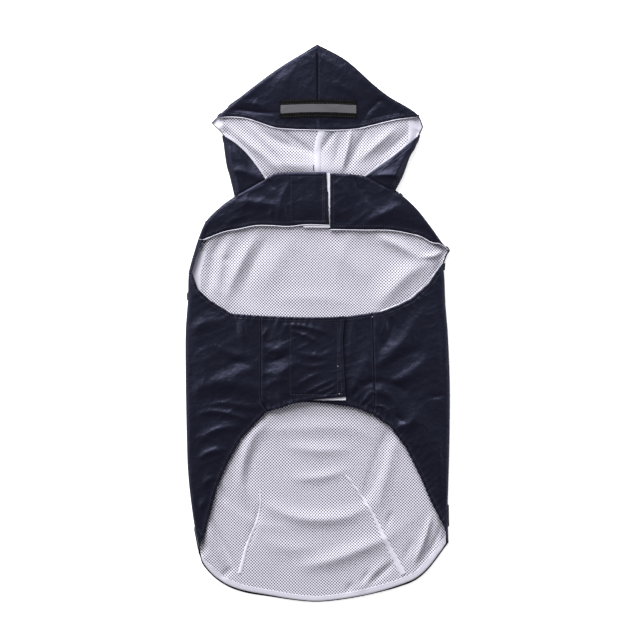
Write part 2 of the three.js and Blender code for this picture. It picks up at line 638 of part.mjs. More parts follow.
// The origin is the middle of the coat's footprint, on the floor
const box = new THREE.Box3().setFromObject(coat);
const centre = box.getCenter(new THREE.Vector3());
coat.position.set(-centre.x, -centre.y, -box.min.z);

export default coat;
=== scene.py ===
import math

import bpy
import numpy as np
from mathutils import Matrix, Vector


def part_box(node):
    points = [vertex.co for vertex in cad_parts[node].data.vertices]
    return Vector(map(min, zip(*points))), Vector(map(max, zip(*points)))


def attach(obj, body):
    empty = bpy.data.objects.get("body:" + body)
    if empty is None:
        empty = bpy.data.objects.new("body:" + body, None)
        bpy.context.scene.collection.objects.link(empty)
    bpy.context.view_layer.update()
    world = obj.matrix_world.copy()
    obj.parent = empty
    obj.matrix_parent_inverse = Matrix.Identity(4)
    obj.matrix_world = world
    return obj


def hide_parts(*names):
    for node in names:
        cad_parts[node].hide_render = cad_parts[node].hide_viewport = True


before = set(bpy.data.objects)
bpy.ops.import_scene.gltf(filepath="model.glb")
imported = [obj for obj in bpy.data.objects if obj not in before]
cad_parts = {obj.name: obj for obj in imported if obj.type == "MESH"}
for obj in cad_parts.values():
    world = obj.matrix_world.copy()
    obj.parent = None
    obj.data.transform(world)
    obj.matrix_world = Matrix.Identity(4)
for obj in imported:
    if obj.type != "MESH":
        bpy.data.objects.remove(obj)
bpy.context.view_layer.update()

# Every table below is in millimetres on the cutting table, +x to the right and +y from hem to
# hood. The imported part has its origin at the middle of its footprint, so one shift joins the two.
MM = 0.001
tape_low, tape_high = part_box("hood_seam_tape")
TO_FRAME = np.array([(tape_low.x + tape_high.x) / 2, tape_high.y - 296 * MM, 0.0])

# Thickness of each layer, and the air between layers that touch
CLOTH = 1.2
LINING_NEAR = 1.5
LINING_FAR = 2.5
TAPE = 0.7
SEAM = 0.3

# Loft of the coat as it lies
BODY_FOLD = 5.0
BODY_RISE = 1.5
BODY_RISE_REACH = 30.0
HOOD_FOLD = 4.0
CROWN_RISE = 2.2
BROW_DROOP = 3.6
CROWN_RISE_REACH = 62.0
CROWN_TAPER = 0.6
HOOD_HALF_WIDTH = 121.0
HOOD_SIDE_RISE = 3.2
COLLAR_REACH = 30.0
FLAP_LIFT = 3.1
HEM_BAND = 5.0
FOLD_REACH = 1.8

# A facing rolls out past its edge. The edge droops onto the lining, which lifts to meet it, and
# both fade over the same reach.
EDGE_ROLL = 0.7
EDGE_DROOP = 2.0
EDGE_REACH = 13.0
LINING_LIFT = 1.6
HOOD_LINING_LIFT = 1.5
HOOD_LIFT_REACH = 12.0
BROW_REACH = 28.0

# The linings end short of the folds, and cells this near an edge of the far side are shell cloth
LINING_INSET = 1.6
HOOD_INSET = 1.5
TURN_IN = 7

# How far each layer floats over the one below, and how much its creases are deepened
LINING_LOFT = 1.9
HOOD_LINING_LOFT = 2.3
LAYER_GAP = 0.2
UPPER_DEPTH = 1.2
LINING_DEPTH = 1.6
HOOD_LINING_DEPTH = 1.55
CROWN_SEAM_DEPTH = 0.6
CROWN_SEAM_DEEPER = 1.4

NECK_LEFT = (-95, 145)
NECK_RIGHT = (89, 150.5)
THROAT_LEFT = (-59.5, 165)
THROAT_RIGHT = (54.7, 168)
LEG_TIP = (151, 84)
HEM_LEFT = (-136, -257)
HEM_RIGHT = (150.5, -252)

SHOULDER_LEFT = [NECK_LEFT, (-109, 135), (-128, 116), (-136.5, 96.5)]
SHOULDER_RIGHT = [NECK_RIGHT, (95.5, 147.5), (113, 132), (130.5, 110), (144.5, 90.5), LEG_TIP]
SIDE_LEFT = [
    (-136.5, 96.5), (-143.5, 73.5), (-147.5, 57), (-148.5, 26), (-151, -8), (-151, -66),
    (-150, -123), (-148.5, -169), (-145, -204), (-140, -238), HEM_LEFT,
]
SIDE_RIGHT = [
    LEG_TIP, (148, 76), (145, 66), (146, 49), (147, 21), (149.5, -8), (152, -66),
    (152, -112), (151, -163), (149.5, -215), HEM_RIGHT,
]
NECK_SEAM = [NECK_LEFT, (-50, 152), (0, 157), (50, 155), NECK_RIGHT]
HEM = [
    HEM_LEFT, (-133, -274), (-126, -284), (-115, -294.5), (-100, -303.5), (-82, -309.5),
    (-54, -314), (-23, -318.5), (0, -320), (31, -317), (63, -311), (93, -303),
    (112, -295.5), (126, -284), HEM_RIGHT,
]
STRAP_TOP_LEFT = [NECK_LEFT, (-77.5, 154.5), THROAT_LEFT, (-48.5, 171), (-19.5, 172.5), (10.5, 173)]
STRAP_BOTTOM_LEFT = [
    (-136.5, 96.5), (-131, 96), (-117, 101.5), (-105, 105.5), (-91, 108), (-71, 112),
    (-51, 112), (-34, 111), (-14, 113), (13.6, 112.5),
]
STRAP_TOP_RIGHT = [(14.5, 171.5), (42.5, 170), THROAT_RIGHT, (70.5, 159.5), NECK_RIGHT]
STRAP_BOTTOM_RIGHT = [
    (14.5, 107.5), (52, 107), (84.5, 106.5), (103, 103.5), (119.5, 99), (130.5, 93),
    (140.5, 91), LEG_TIP,
]
# Side wraps: a row runs from the side fold, at the first number, to the edge at x, y
WRAP_LEFT = [
    (96, -131, 95.5), (73.5, -139, 74), (57, -143.5, 58), (38, -136.5, 39), (22, -122.5, 26),
    (5, -98.5, 11), (-8, -80, 9.5), (-22, -65, 8.5), (-50, -65, -42), (-84, -65, -88),
    (-102, -57, -101.5), (-118, -67, -111), (-138, -87, -132.5), (-163, -102, -159),
    (-190, -114.5, -188), (-236, -127, -235), (-256, -134.5, -256),
]
WRAP_RIGHT = [
    (70, 143.5, 68.5), (60, 137, 59.5), (47, 127.5, 45.5), (33, 107.5, 28), (20, 93.5, 21),
    (6, 72.5, 13), (-8, 63, 12), (-50, 64.5, -42), (-84, 66, -92), (-100, 63.5, -105),
    (-114, 82.5, -118), (-142, 101, -142.5), (-176, 117.5, -175.5), (-205, 130, -204.5),
    (-235, 145, -233), (-250, 149.5, -249),
]
FLAP_LEFT = {
    "top": [(-65, 8.5), (-46, 7.7), (-19.5, 6.8), (15, 7), (31.5, 8)],
    "bottom": [(-57, -101.5), (-42.5, -97.5), (-31, -93.5), (-6, -88.5), (32.5, -84.5)],
    "seam": [(-65, 8.5), (-65, -42), (-65, -88), (-57, -101.5)],
    "end": [(31.5, 8), (29, -20), (30.8, -55), (32.5, -84.5)],
}
FLAP_RIGHT = {
    "top": [(-31, 5.5), (0, 6), (31.5, 7.5), (56.5, 11), (63, 12)],
    "bottom": [(-31, -91), (-11.5, -90.5), (10, -92), (27.5, -94.5), (42.5, -97), (63.5, -105)],
    "end": [(-31, 5.5), (-31, -42), (-31, -91)],
    "seam": [(63, 12), (64.5, -42), (66, -92), (63.5, -105)],
}
BELLY_TAPE = (-27, 32.5, 0, -88.5)
CHEST_TAB = (-16, 18, 171.5, 109.5)

# Boxes of stitches that hold the tapes, as left, right, top and foot, and the straps' free ends
BELLY_BOX = (-31, 23, 1, -82)
CHEST_BOX = (-30, 6, 167.5, 117)
STRAP_END_LEFT = 11.5
STRAP_END_RIGHT = 14.5
NECK_SEAM_DIP = 0.7
BACK_LENGTH = 460
BACK_WIDTH = 290
SEAM_TAPE = [
    (0, 296, 10), (2, 242, 16), (5.6, 222, 20.5), (2.5, 210.5, 14.4), (0.4, 201, 8.6), (0.4, 193, 8),
    (0.6, 182, 6.5), (0.8, 160, 6.5),
]

PEAK = (0, 319)
BROW = (0, 221.5)
EAR_LEFT = (-121.5, 229.5)
EAR_RIGHT = (121.5, 225)
HOOD_LEFT = {
    "crown_fold": [PEAK, (-46, 291), (-99.5, 250), (-112, 239), EAR_LEFT],
    "crown_end": [(-114.5, 236.7), (-113.3, 235.6)],
    "crown_edge": [
        BROW, (-29, 222.5), (-50, 224.5), (-66, 230), (-82, 235), (-98, 236.6), (-113.3, 235.6),
    ],
    "back": [EAR_LEFT, (-108, 215), (-107, 201), (-103.5, 178), (-101, 170), NECK_LEFT],
    "side_fold": [(-108, 215), (-107, 201), (-103.5, 178), (-101, 170), NECK_LEFT],
    "face_edge": [(-106.5, 214.2), (-95.5, 207.5), (-82, 195.5), (-70, 180.5), THROAT_LEFT],
}
HOOD_RIGHT = {
    "crown_fold": [PEAK, (32, 302), (64.5, 273.5), (79.5, 261.5), (115.5, 238.5), EAR_RIGHT],
    "crown_end": [(116.5, 237.3), (114.6, 236.2)],
    "crown_edge": [BROW, (24, 221.5), (48.5, 223.5), (63, 227), (90.5, 233.5), (114.6, 236.2)],
    "back": [EAR_RIGHT, (117, 215.5), (112, 200), (107, 192), (98, 168), NECK_RIGHT],
    "side_fold": [(117, 215.5), (112, 200), (107, 192), (98, 168), NECK_RIGHT],
    "face_edge": [(115.6, 214.6), (105.5, 206.5), (86.5, 191), (69, 178.5), THROAT_RIGHT],
}
REFLECTIVE_LEFT = -42
REFLECTIVE_RIGHT = 44.5
REFLECTIVE_Y = 244.9
REFLECTIVE_ARCH = 1.5

# Rump darts: x, y and width of the tape down their line
DART_LEFT = [
    (-65.5, -192, 1.2), (-65.2, -209, 2.2), (-70, -229, 2.6), (-76, -244, 3), (-81.5, -258, 3.6),
    (-85, -272, 4.2), (-89, -287, 5),
]
DART_RIGHT = [
    (30, -171.5, 1.2), (40.5, -185, 2), (52, -201, 2.8), (63, -218.5, 3.6), (72.5, -238, 4.6),
    (84, -261, 5.6), (93, -278, 6.6), (98.5, -288, 7.5),
]

# Creases: the line of each, its half width, its height (below zero a trough) and its lean,
# by which its right-hand flank is gentler than its left-hand one
UPPER_CREASES = [
    ([(-150.5, -12.5), (-130, 0), (-104.5, 3.5)], 7, 1.7, 0.2),
    ([(-144, -79.5), (-120.5, -70), (-93, -69), (-63, -77)], 9, 2.4, 0.2),
    ([(-86, 6), (-85, -8), (-84, -23)], 4, 1.3, 0),
    ([(-97.5, 11.5), (-94.5, -1), (-92, -16)], 2, -1, 0),
    ([(-116, -27.5), (-97.5, -35.5), (-70, -38)], 4, 1.1, 0),
    ([(-104.5, -45), (-88.5, -45), (-75, -48.5)], 3, -0.8, 0),
    ([(-123, -64.5), (-91, -58.5), (-63, -46)], 6, 1.3, 0),
    ([(-139, -31), (-127.5, -45), (-125.5, -63)], 7, 0.9, 0),
    ([(-137, -106), (-124, -101), (-108, -102), (-92.5, -106), (-81, -110)], 4, 1.7, 0.25),
    ([(-137, -96.5), (-108, -92), (-77, -95.5), (-63, -99)], 4, 1.1, 0.2),
    ([(-133.5, -134), (-124, -125.5), (-108, -119.5), (-89.5, -118)], 4.5, 1.8, 0.25),
    ([(-134.5, -155), (-127, -148.5), (-114, -145.5), (-105, -143.5)], 4, 1.6, 0.25),
    ([(-131.5, -185.5), (-124, -179), (-116.5, -176.5)], 3.5, 1.2, 0.2),
    ([(-137, -212.5), (-129.5, -204), (-125.5, -200)], 3.5, 1, 0.2),
    ([(-39, -2.5), (-19.5, -3.5), (1, -8), (15, -14)], 2.2, 0.9, 0),
    ([(-33.5, -8), (-15, -14), (3.5, -24)], 2.2, 0.9, 0),
    ([(-63, -16), (-56.5, -6)], 2, 1, 0),
    ([(-63, -26.5), (-47, -31), (-28.5, -25.5)], 4.5, 1.4, 0),
    ([(-61, -43.5), (-46, -42.5), (-30, -33.5)], 3.5, -1.2, 0),
    ([(-64.5, -54), (-47, -58.5), (-27.5, -47)], 4.5, 1.5, 0),
    ([(-62, -75), (-49.5, -66.5), (-33.5, -64.5)], 3.5, 1, 0),
    ([(-68.5, -90), (-58.5, -101)], 2, 0.8, 0),
    ([(-45.5, -83), (-41.5, -93)], 2, 0.7, 0),
    ([(-56.5, -84), (-49.5, -94.5)], 2, 0.7, 0),
    ([(-25.5, -33.5), (-1, -38), (22, -31)], 3, 0.7, 0),
    ([(-24, -46), (-6, -49.5), (10.5, -47)], 2.4, 0.6, 0),
    ([(-24, -72.5), (-8, -62), (8, -56.5)], 2.2, 0.7, 0),
    ([(-19.5, -83), (1, -72.5), (22, -63)], 2.2, 0.8, 0),
    ([(-6, -83), (10.5, -76), (24, -69)], 1.8, 0.7, 0),
    ([(8, -84), (24, -76)], 1.6, 0.6, 0),
    ([(45, 8), (40, -8), (38, -45)], 4, 1.2, 0),
    ([(62, -23), (51.5, -56.5), (34.5, -87.5)], 7, 1.9, 0.2),
    ([(37, -88.5), (49.5, -73.5), (65.5, -67.5), (86, -70), (102.5, -79.5), (109, -95.5)], 2.8, -1.3, 0),
    ([(53, -88.5), (62, -79.5), (78, -80), (88.5, -91), (92, -104.5)], 2.8, 1.3, 0),
    ([(63, -95.5), (72.5, -95), (79.5, -100), (80.5, -108)], 1.8, 0.9, 0),
    ([(48.5, -94.5), (60, -81.5)], 1.5, 0.7, 0),
    ([(54, -99), (64.5, -87.5)], 1.5, 0.7, 0),
    ([(89.5, -104.5), (96.5, -111.5), (103.5, -111.5)], 2.8, -1.4, 0),
    ([(86, -120.5), (102.5, -116), (118.5, -101)], 5, 1.4, 0),
    ([(116, 8), (101, -17), (83, -37), (65.5, -51.5)], 8, 2.5, -0.2),
    ([(87.5, 8), (83, -12.5), (70, -32)], 4.5, -1.1, 0),
    ([(75, 8), (78, -3.5), (71.5, -14)], 1.9, 1.1, 0),
    ([(84, 16), (89.5, 1)], 2, 0.7, 0),
    ([(68, 12.5), (69, -10.5)], 2, 0.8, 0),
    ([(127.5, -38), (107, -57.5), (77, -70)], 6.5, 2.1, -0.2),
    ([(123, -26.5), (95.5, -40), (72.5, -54)], 3.5, -1, 0),
    ([(127.5, -86), (139, -84), (150.5, -81.5)], 2.4, -1.1, 0),
    ([(95.5, -86), (116, -116), (127.5, -153)], 8, 1.2, 0),
    ([(139, -123), (141.5, -169), (144, -215)], 6, 1, 0),
    ([(132, 15), (137, -25.5), (134.5, -71.5)], 9, 0.8, 0),
    ([(-104.5, 140.5), (-75, 139), (-43.5, 133.5)], 5, 1.6, 0.2),
    ([(-31, 162), (-41.5, 141.5), (-45, 115)], 3.5, 1.5, 0),
    ([(-58.5, 164.5), (-48.5, 153)], 3, -1, 0),
    ([(-38, 141.5), (-38, 115)], 1.8, 0.7, 0),
    ([(-30, 150.5), (-30, 115)], 1.8, 0.7, 0),
    ([(-51.5, 135.5), (-54, 116)], 2.2, 0.6, 0),
    ([(-88.5, 123), (-100, 116), (-109, 107)], 4, 0.9, 0),
    ([(41.5, 168), (46, 157.5), (51.5, 150.5), (57.5, 138)], 2.6, -1.5, 0),
    ([(47, 110.5), (72.5, 124), (97.5, 135.5), (111.5, 134.5)], 5.5, 1.8, 0.2),
    ([(33.5, 110.5), (49.5, 120.5), (61, 130)], 2.6, 0.8, 0),
    ([(20.5, 162), (32, 153), (38, 141.5)], 4, 0.8, 0),
    ([(19.5, 138), (24, 123)], 2.5, 0.7, 0),
    ([(111.5, 127.5), (123, 111.5), (137, 92)], 4, 1.2, 0),
]
LINING_CREASES = [
    ([(-56.5, -111.5), (-75, -132), (-84, -157.5), (-87.5, -185), (-81.5, -206)], 6.5, 2.9, 0),
    ([(-70, -141.5), (-78, -164.5), (-80.5, -189.5)], 5, -1.3, 0),
    ([(-123, -219.5), (-111.5, -247), (-96.5, -278.5)], 2.6, -1.9, 0.2),
    ([(-127.5, -226.5), (-119.5, -249.5), (-107, -279.5)], 5, 1.3, 0),
    ([(-112.5, -183), (-106, -206)], 2.4, -1.3, 0),
    ([(-96.5, -279.5), (-102.5, -285), (-110.5, -292)], 3, -1.2, 0),
    ([(-63, -203.5), (-71.5, -233.5), (-79.5, -256.5)], 3, -1.1, 0),
    ([(-68, -124), (-19.5, -120.5), (38, -120.5), (63, -130)], 10, 1.4, 0),
    ([(-33.5, -141.5), (1, -146), (35.5, -145)], 7, 1.5, 0),
    ([(-28.5, -178), (3.5, -177), (33.5, -169)], 6, 1.5, 0),
    ([(-61, -207), (-31, -221), (1, -225.5), (38, -221), (61, -208)], 8, 2.5, 0),
    ([(-19.5, -279.5), (15, -272.5), (49.5, -260), (79.5, -247)], 8, 2.4, 0),
    ([(-63, -249.5), (-31, -259), (-1, -256.5)], 9, 1, 0),
    ([(79.5, -123), (72.5, -155), (63, -180.5), (54, -203.5)], 6, -3, 0),
    ([(88.5, -134.5), (81.5, -164.5), (75, -187.5), (70, -212.5)], 7, 1.7, 0),
    ([(85, -216), (80.5, -233.5)], 2.4, -1.3, 0),
    ([(130, -222), (123, -247), (112.5, -273.5)], 3.2, 3, 0),
    ([(142.5, -231), (133.5, -254), (117.5, -275)], 3.5, -1.6, 0),
    ([(109, -249.5), (100, -272.5)], 3.5, -1, 0),
    ([(87.5, -275), (73.5, -287.5), (60, -299)], 3, -1.6, 0),
    ([(60, -284), (50.5, -299)], 2.6, -1.4, 0),
    ([(40, -298), (33.5, -309.5)], 2.4, -1.1, 0),
    ([(79.5, -272.5), (63, -288.5), (47, -307)], 4, 1, 0),
    ([(-108, 102.5), (-117.5, 81.5), (-122, 58.5), (-125.5, 35.5)], 4, -2.2, 0),
    ([(-97.5, 100), (-107, 79.5), (-112.5, 54), (-116, 31)], 6, 1.6, 0),
    ([(-108, 70), (-101, 76)], 4, -0.9, 0),
    ([(-70, 100), (-83, 78), (-94.5, 54), (-104.5, 26.5)], 7, 3, 0),
    ([(-58.5, 97.5), (-72.5, 70), (-85, 38)], 6, -1.3, 0),
    ([(-28.5, 100), (-47, 70), (-63, 35.5)], 12, 1.2, 0),
    ([(68, 100), (95.5, 87.5), (120.5, 72.5)], 6.5, 2.8, 0),
    ([(119.5, 76), (134.5, 77), (149.5, 84)], 2.8, 2.6, 0),
    ([(132, 70), (107, 58.5), (81.5, 33.5), (68, 17)], 11, 3.6, 0),
    ([(10.5, 95.5), (33.5, 70), (63, 51.5)], 13, 1.3, 0),
    ([(-51.5, 26.5), (-19.5, 28.5), (15, 27.5), (40, 22)], 9, 0.8, 0),
]
HOOD_LINING_CREASES = [
    ([(-102.5, 226.5), (-79.5, 206), (-60, 191), (-42.5, 173.5)], 5, 2.4, 0),
    ([(-66, 222), (-52, 212), (-34, 204), (-12, 198)], 4.5, -1.8, 0),
    ([(-39, 222), (-27.5, 209), (-17, 202), (-4, 194)], 3.5, -2.2, 0),
    ([(-81.5, 229), (-54, 203.5), (-31, 180.5)], 5, 1.4, 0),
    ([(-58, 183), (-30, 181), (0, 180)], 7, 1.5, 0),
    ([(19.5, 222), (12.5, 210), (6, 199)], 2.8, -2.2, 0),
    ([(39, 221), (34.5, 199), (28.5, 176)], 2.8, 2.8, 0),
    ([(27.5, 217.5), (24, 199), (18.5, 180.5)], 3.5, -1, 0),
    ([(89.5, 223), (70, 206), (49.5, 187.5)], 5, 2.6, 0),
    ([(56, 222), (47, 204), (38, 186), (33, 174)], 4, -2, 0),
    ([(107, 222), (88.5, 203.5), (70, 189.5)], 5, -1.5, 0),
    ([(-64, 167), (-30, 169), (8, 169.5), (30, 168), (54, 167)], 4.5, -2, 0),
]
CROWN_CREASES = [
    ([(-107, 247), (-88.5, 244.5), (-63, 241), (-45, 240.5)], 2.4, -1.3, 0),
    ([(-88.5, 252), (-75, 252), (-58.5, 247)], 4, 1.1, 0),
    ([(80.5, 261), (62, 247), (49.5, 229)], 3, -1.1, 0),
    ([(6, 309.5), (19.5, 295.5), (35.5, 275)], 9, 1, 0),
    ([(-35.5, 295.5), (-38, 275), (-49.5, 256.5)], 9, 0.9, 0),
    ([(17, 275), (31, 270), (47, 261)], 5, 0.8, 0),
    ([(-24, 238), (-14, 230)], 2.2, 0.7, 0),
    ([(15, 237), (6, 229)], 2.2, 0.7, 0),
    ([(86, 252), (100, 242.5), (111.5, 235.5)], 3, 0.9, 0),
]
SIDE_CREASES = [
    ([(63, 169), (81.5, 169.5), (97.5, 169)], 3.5, 2, 0),
    ([(-103.5, 173.5), (-83, 173.5), (-63, 163.5)], 5, 1.6, 0),
    ([(-97.5, 203.5), (-88.5, 189.5), (-81.5, 178)], 4, 0.9, 0),
    ([(97.5, 201), (86, 187.5), (75, 176)], 4, 0.9, 0),
]
# The underside of the coat, which the photograph doesn't show, has the same kind of creases
BACK_CREASES = [
    ([(-140, 60), (-90, 20), (-40, 5)], 9, 0.9, 0.2),
    ([(142, 40), (96, 10), (50, -20)], 9, 0.9, 0.2),
    ([(-146, -60), (-100, -90), (-52, -98)], 8, 0.9, 0),
    ([(146, -80), (104, -120), (70, -170)], 8, 0.9, 0),
    ([(-120, -200), (-70, -230), (-20, -236)], 7, 0.8, 0.2),
    ([(118, -220), (72, -250), (18, -262)], 7, 0.8, 0),
    ([(-60, 130), (-20, 90), (10, 30)], 10, 0.8, 0),
    ([(60, 128), (30, 84), (22, 40)], 8, 0.8, 0),
]


def smooth(value, low, high):
    """Rises from 0 to 1 between two values, level at both."""
    t = np.clip((value - low) / (high - low), 0, 1)
    return t * t * (3 - 2 * t)


def by_length(line):
    """A polyline as a function of the share of its length."""
    step = np.linalg.norm(np.diff(line, axis=0), axis=1)
    at = np.concatenate([[0], np.cumsum(step)]) / step.sum()
    return lambda t: np.stack([np.interp(t, at, line[:, k]) for k in (0, 1)], axis=-1)


def curve(rows, dense=24):
    """Smooth line through the rows: a cubic between each two, with centripetal Catmull-Rom slopes."""
    p = np.array(rows, float)
    p = np.vstack([2 * p[0] - p[1], p, 2 * p[-1] - p[-2]])
    gap = np.sqrt(np.linalg.norm(np.diff(p, axis=0), axis=1))[:, None]
    a, b, c, d = p[:-3], p[1:-2], p[2:-1], p[3:]
    before, here, after = gap[:-2], gap[1:-1], gap[2:]
    leave = ((b - a) / before - (c - a) / (before + here) + (c - b) / here) * here
    reach = ((c - b) / here - (d - b) / (here + after) + (d - c) / after) * here
    t = np.linspace(0, 1, dense, endpoint=False)[:, None, None]
    rise = t * t * (3 - 2 * t)
    line = (1 - rise) * b + rise * c + (t**3 - 2 * t**2 + t) * leave + (t**3 - t**2) * reach
    return by_length(np.vstack([line.transpose(1, 0, 2).reshape(-1, 2), p[-2]]))


def stations(rows):
    """Straight line from row to row, the rows evenly spaced from 0 to 1."""
    p = np.array(rows, float)
    at = np.linspace(0, 1, len(p))
    return lambda t: np.stack([np.interp(t, at, p[:, k]) for k in range(p.shape[1])], axis=-1)


def stretch(line, start, end):
    """The part of a line between two of its shares, run in either direction."""
    return lambda t: line(start + (end - start) * np.asarray(t, float))


def points_of(line, count=120):
    """A line as a row of points for measuring distances to it."""
    return line(np.linspace(0, 1, count))


def share_at_x(line, x):
    """The share of its length at which a line comes nearest to a value of x."""
    t = np.linspace(0, 1, 1001)
    return t[np.argmin(np.abs(line(t)[:, 0] - x))]


def nearest(x, y, line):
    """Distance to a polyline, how far along it the nearest place is, and 1 left of it or -1 right."""
    best = np.full(np.shape(x), 1e9)
    along = np.zeros(np.shape(x))
    side = np.ones(np.shape(x))
    run = 0.0
    for (ax, ay), (bx, by) in zip(line[:-1], line[1:]):
        dx, dy = bx - ax, by - ay
        long = math.hypot(dx, dy)
        share = np.clip(((x - ax) * dx + (y - ay) * dy) / max(long * long, 1e-9), 0, 1)
        gap = np.hypot(x - ax - share * dx, y - ay - share * dy)
        closer = gap < best
        best = np.where(closer, gap, best)
        along = np.where(closer, run + share * long, along)
        side = np.where(closer, np.sign(dx * (y - ay) - dy * (x - ax)), side)
        run += long
    return best, along, side


def gap_to(x, y, lines):
    """Distance to the nearest of several polylines."""
    return np.min([nearest(x, y, line)[0] for line in lines], axis=0)


def above(free, least):
    """The higher of two heights, rounded where they cross: half of their sum and their rounded difference."""
    return (free + least + np.sqrt((free - least) ** 2 + 0.6)) / 2


def creases(x, y, rows, spread=1.0):
    """Sum of the creases at x, y. Across its line each is a bell, gentler on the side it leans to,
    and along it a half sine."""
    total = np.zeros(np.shape(x))
    for spots, narrow, height, lean in rows:
        width = narrow * spread
        line = curve(spots)(np.linspace(0, 1, 10))
        low, high = line.min(axis=0) - 3.2 * width, line.max(axis=0) + 3.2 * width
        close = (x > low[0]) & (x < high[0]) & (y > low[1]) & (y < high[1])
        if not close.any():
            continue
        gap, along, side = nearest(x[close], y[close], line)
        long = np.linalg.norm(np.diff(line, axis=0), axis=1).sum()
        fade = np.sin(math.pi * np.clip(0.04 + 0.92 * along / long, 0, 1)) ** 0.8
        across = gap / (width * (1 - lean * side))
        total[close] += height * fade * np.exp(-(across**1.6))
    return total


def waves(x, y, size, seed):
    """Smooth random heights from -1 to 1: seeded values on a lattice, joined by cubic steps."""
    grid = np.random.default_rng(seed).uniform(-1, 1, (101, 101))
    gx, gy = x / size + 50, y / size + 50
    i, j = np.floor(gx).astype(int), np.floor(gy).astype(int)
    fx, fy = smooth(gx - i, 0, 1), smooth(gy - j, 0, 1)
    left = grid[i % 101, j % 101] * (1 - fy) + grid[i % 101, (j + 1) % 101] * fy
    right = grid[(i + 1) % 101, j % 101] * (1 - fy) + grid[(i + 1) % 101, (j + 1) % 101] * fy
    return left * (1 - fx) + right * fx


def turned(x, y, degrees, squeeze):
    """Coordinates turned by an angle and squeezed across, so that waves on them run one way."""
    c, s = math.cos(math.radians(degrees)), math.sin(math.radians(degrees))
    return x * c + y * s, (y * c - x * s) * squeeze


def crinkle(x, y, seed, degrees):
    """Fine sharp-topped ripples of thin coated cloth: one less the size of a smooth wave, squared."""
    a, b = turned(x, y, degrees, 2.4)
    ridge = (1 - np.abs(waves(a, b, 26, seed))) ** 4
    c, d = turned(x, y, degrees + 70, 1.8)
    return 0.5 * ridge + 0.25 * (1 - np.abs(waves(c, d, 14, seed + 1))) ** 4


def lower_turn(radius, gap):
    """Height of the lower quarter of a fold at a distance in from it."""
    inside = np.clip(radius - gap, 0, radius)
    return radius - np.sqrt(radius**2 - inside**2)


def upper_turn(radius, gap):
    """Height of the upper quarter of a fold: a superellipse of the fourth power, fuller than a circle."""
    inside = np.clip(1 - gap / (FOLD_REACH * radius), 0, 1)
    return SEAM + radius + radius * (1 - inside**4) ** 0.25


def hem_profile(gap):
    """Turned hem: a band thicker than the cloth, rounded over at the edge, dipped at its stitches."""
    band = 0.4 * (1 - smooth(gap, HEM_BAND - 0.2, HEM_BAND + 1.4))
    over = 0.9 * (1 - np.sqrt(1 - np.clip(1 - gap / 1.4, 0, 1) ** 2))
    dip = 0.3 * np.exp(-(((gap - HEM_BAND + 0.8) / 0.7) ** 2))
    return band - over - dip


def puckers(gap, along, pitch, reach, height, seed):
    """Gathers that run in from an edge: a sine along it whose pitch and height wander, fading inwards."""
    slip = waves(along, along * 0, 22, seed)
    tall = 0.6 + 0.4 * waves(along, along * 0 + 900, 34, seed)
    wave = 0.5 + 0.5 * np.sin(2 * math.pi * (along + 0.35 * gap) / pitch + 3 * slip)
    return height * tall * wave * np.exp(-((gap / reach) ** 1.5))


def steps(length, pitch, start=None, end=None):
    """Shares of a length a pitch apart, closer together where an end turns over a fold or a hem."""
    near = {
        None: np.array([0.0]),
        "body": BODY_FOLD * (1 - np.cos(np.linspace(0, math.pi / 2, 7))),
        "hood": HOOD_FOLD * (1 - np.cos(np.linspace(0, math.pi / 2, 6))),
        "hem": np.array([0, 0.2, 0.6, 1.2, 1.9, 2.7, 3.4, 4.1, 4.8, 5.6, 6.6]),
        "seam": np.array([0, 0.5, 1.1, 1.9, 2.9]),
    }
    head, tail = near[start], length - near[end][::-1]
    count = max(2, int(round((tail[0] - head[-1]) / pitch)))
    middle = np.linspace(head[-1], tail[0], count + 1)[1:-1]
    return np.concatenate([head, middle, tail]) / length


def panel(start, end, left, right, us, vs):
    """Coons patch: the sum of the two ruled surfaces between facing edges, less the corners' bilinear one."""
    u, v = us[None, :, None], vs[:, None, None]
    across = start(us)[None] * (1 - v) + end(us)[None] * v
    down = left(vs)[:, None] * (1 - u) + right(vs)[:, None] * u
    top = start(0.0) * (1 - u) + start(1.0) * u
    foot = end(0.0) * (1 - u) + end(1.0) * u
    return across + down - top * (1 - v) - foot * v


def raised(flat, height):
    """Puts a flat grid on a height, worked out from its x and y."""
    return np.dstack([flat, height(flat[..., 0], flat[..., 1])])


def drop_to(grid, column, z):
    """Repeats an edge column of a grid straight below or above itself, at height z, to close a fold."""
    edge = grid[:, column].copy()
    edge[:, 2] = z
    parts = [edge[:, None], grid] if column == 0 else [grid, edge[:, None]]
    return np.concatenate(parts, axis=1)


def normals_of(grid, faces):
    """Unit vectors square to a grid, turned so that they look up (1) or down (-1) on the whole."""
    du = np.gradient(grid, axis=1)
    dv = np.gradient(grid, axis=0)
    n = np.cross(du, dv)
    n /= np.maximum(np.linalg.norm(n, axis=2, keepdims=True), 1e-9)
    n *= 1 if n[..., 2].sum() * faces > 0 else -1
    return np.where(n[..., 2:] * faces < -0.05, -n, n)


def rim_of(rows, columns):
    """Numbers of the outer vertices of a grid, once round."""
    grid = np.arange(rows * columns).reshape(rows, columns)
    return np.concatenate([grid[0, :-1], grid[:-1, -1], grid[-1, :0:-1], grid[:0:-1, 0]])


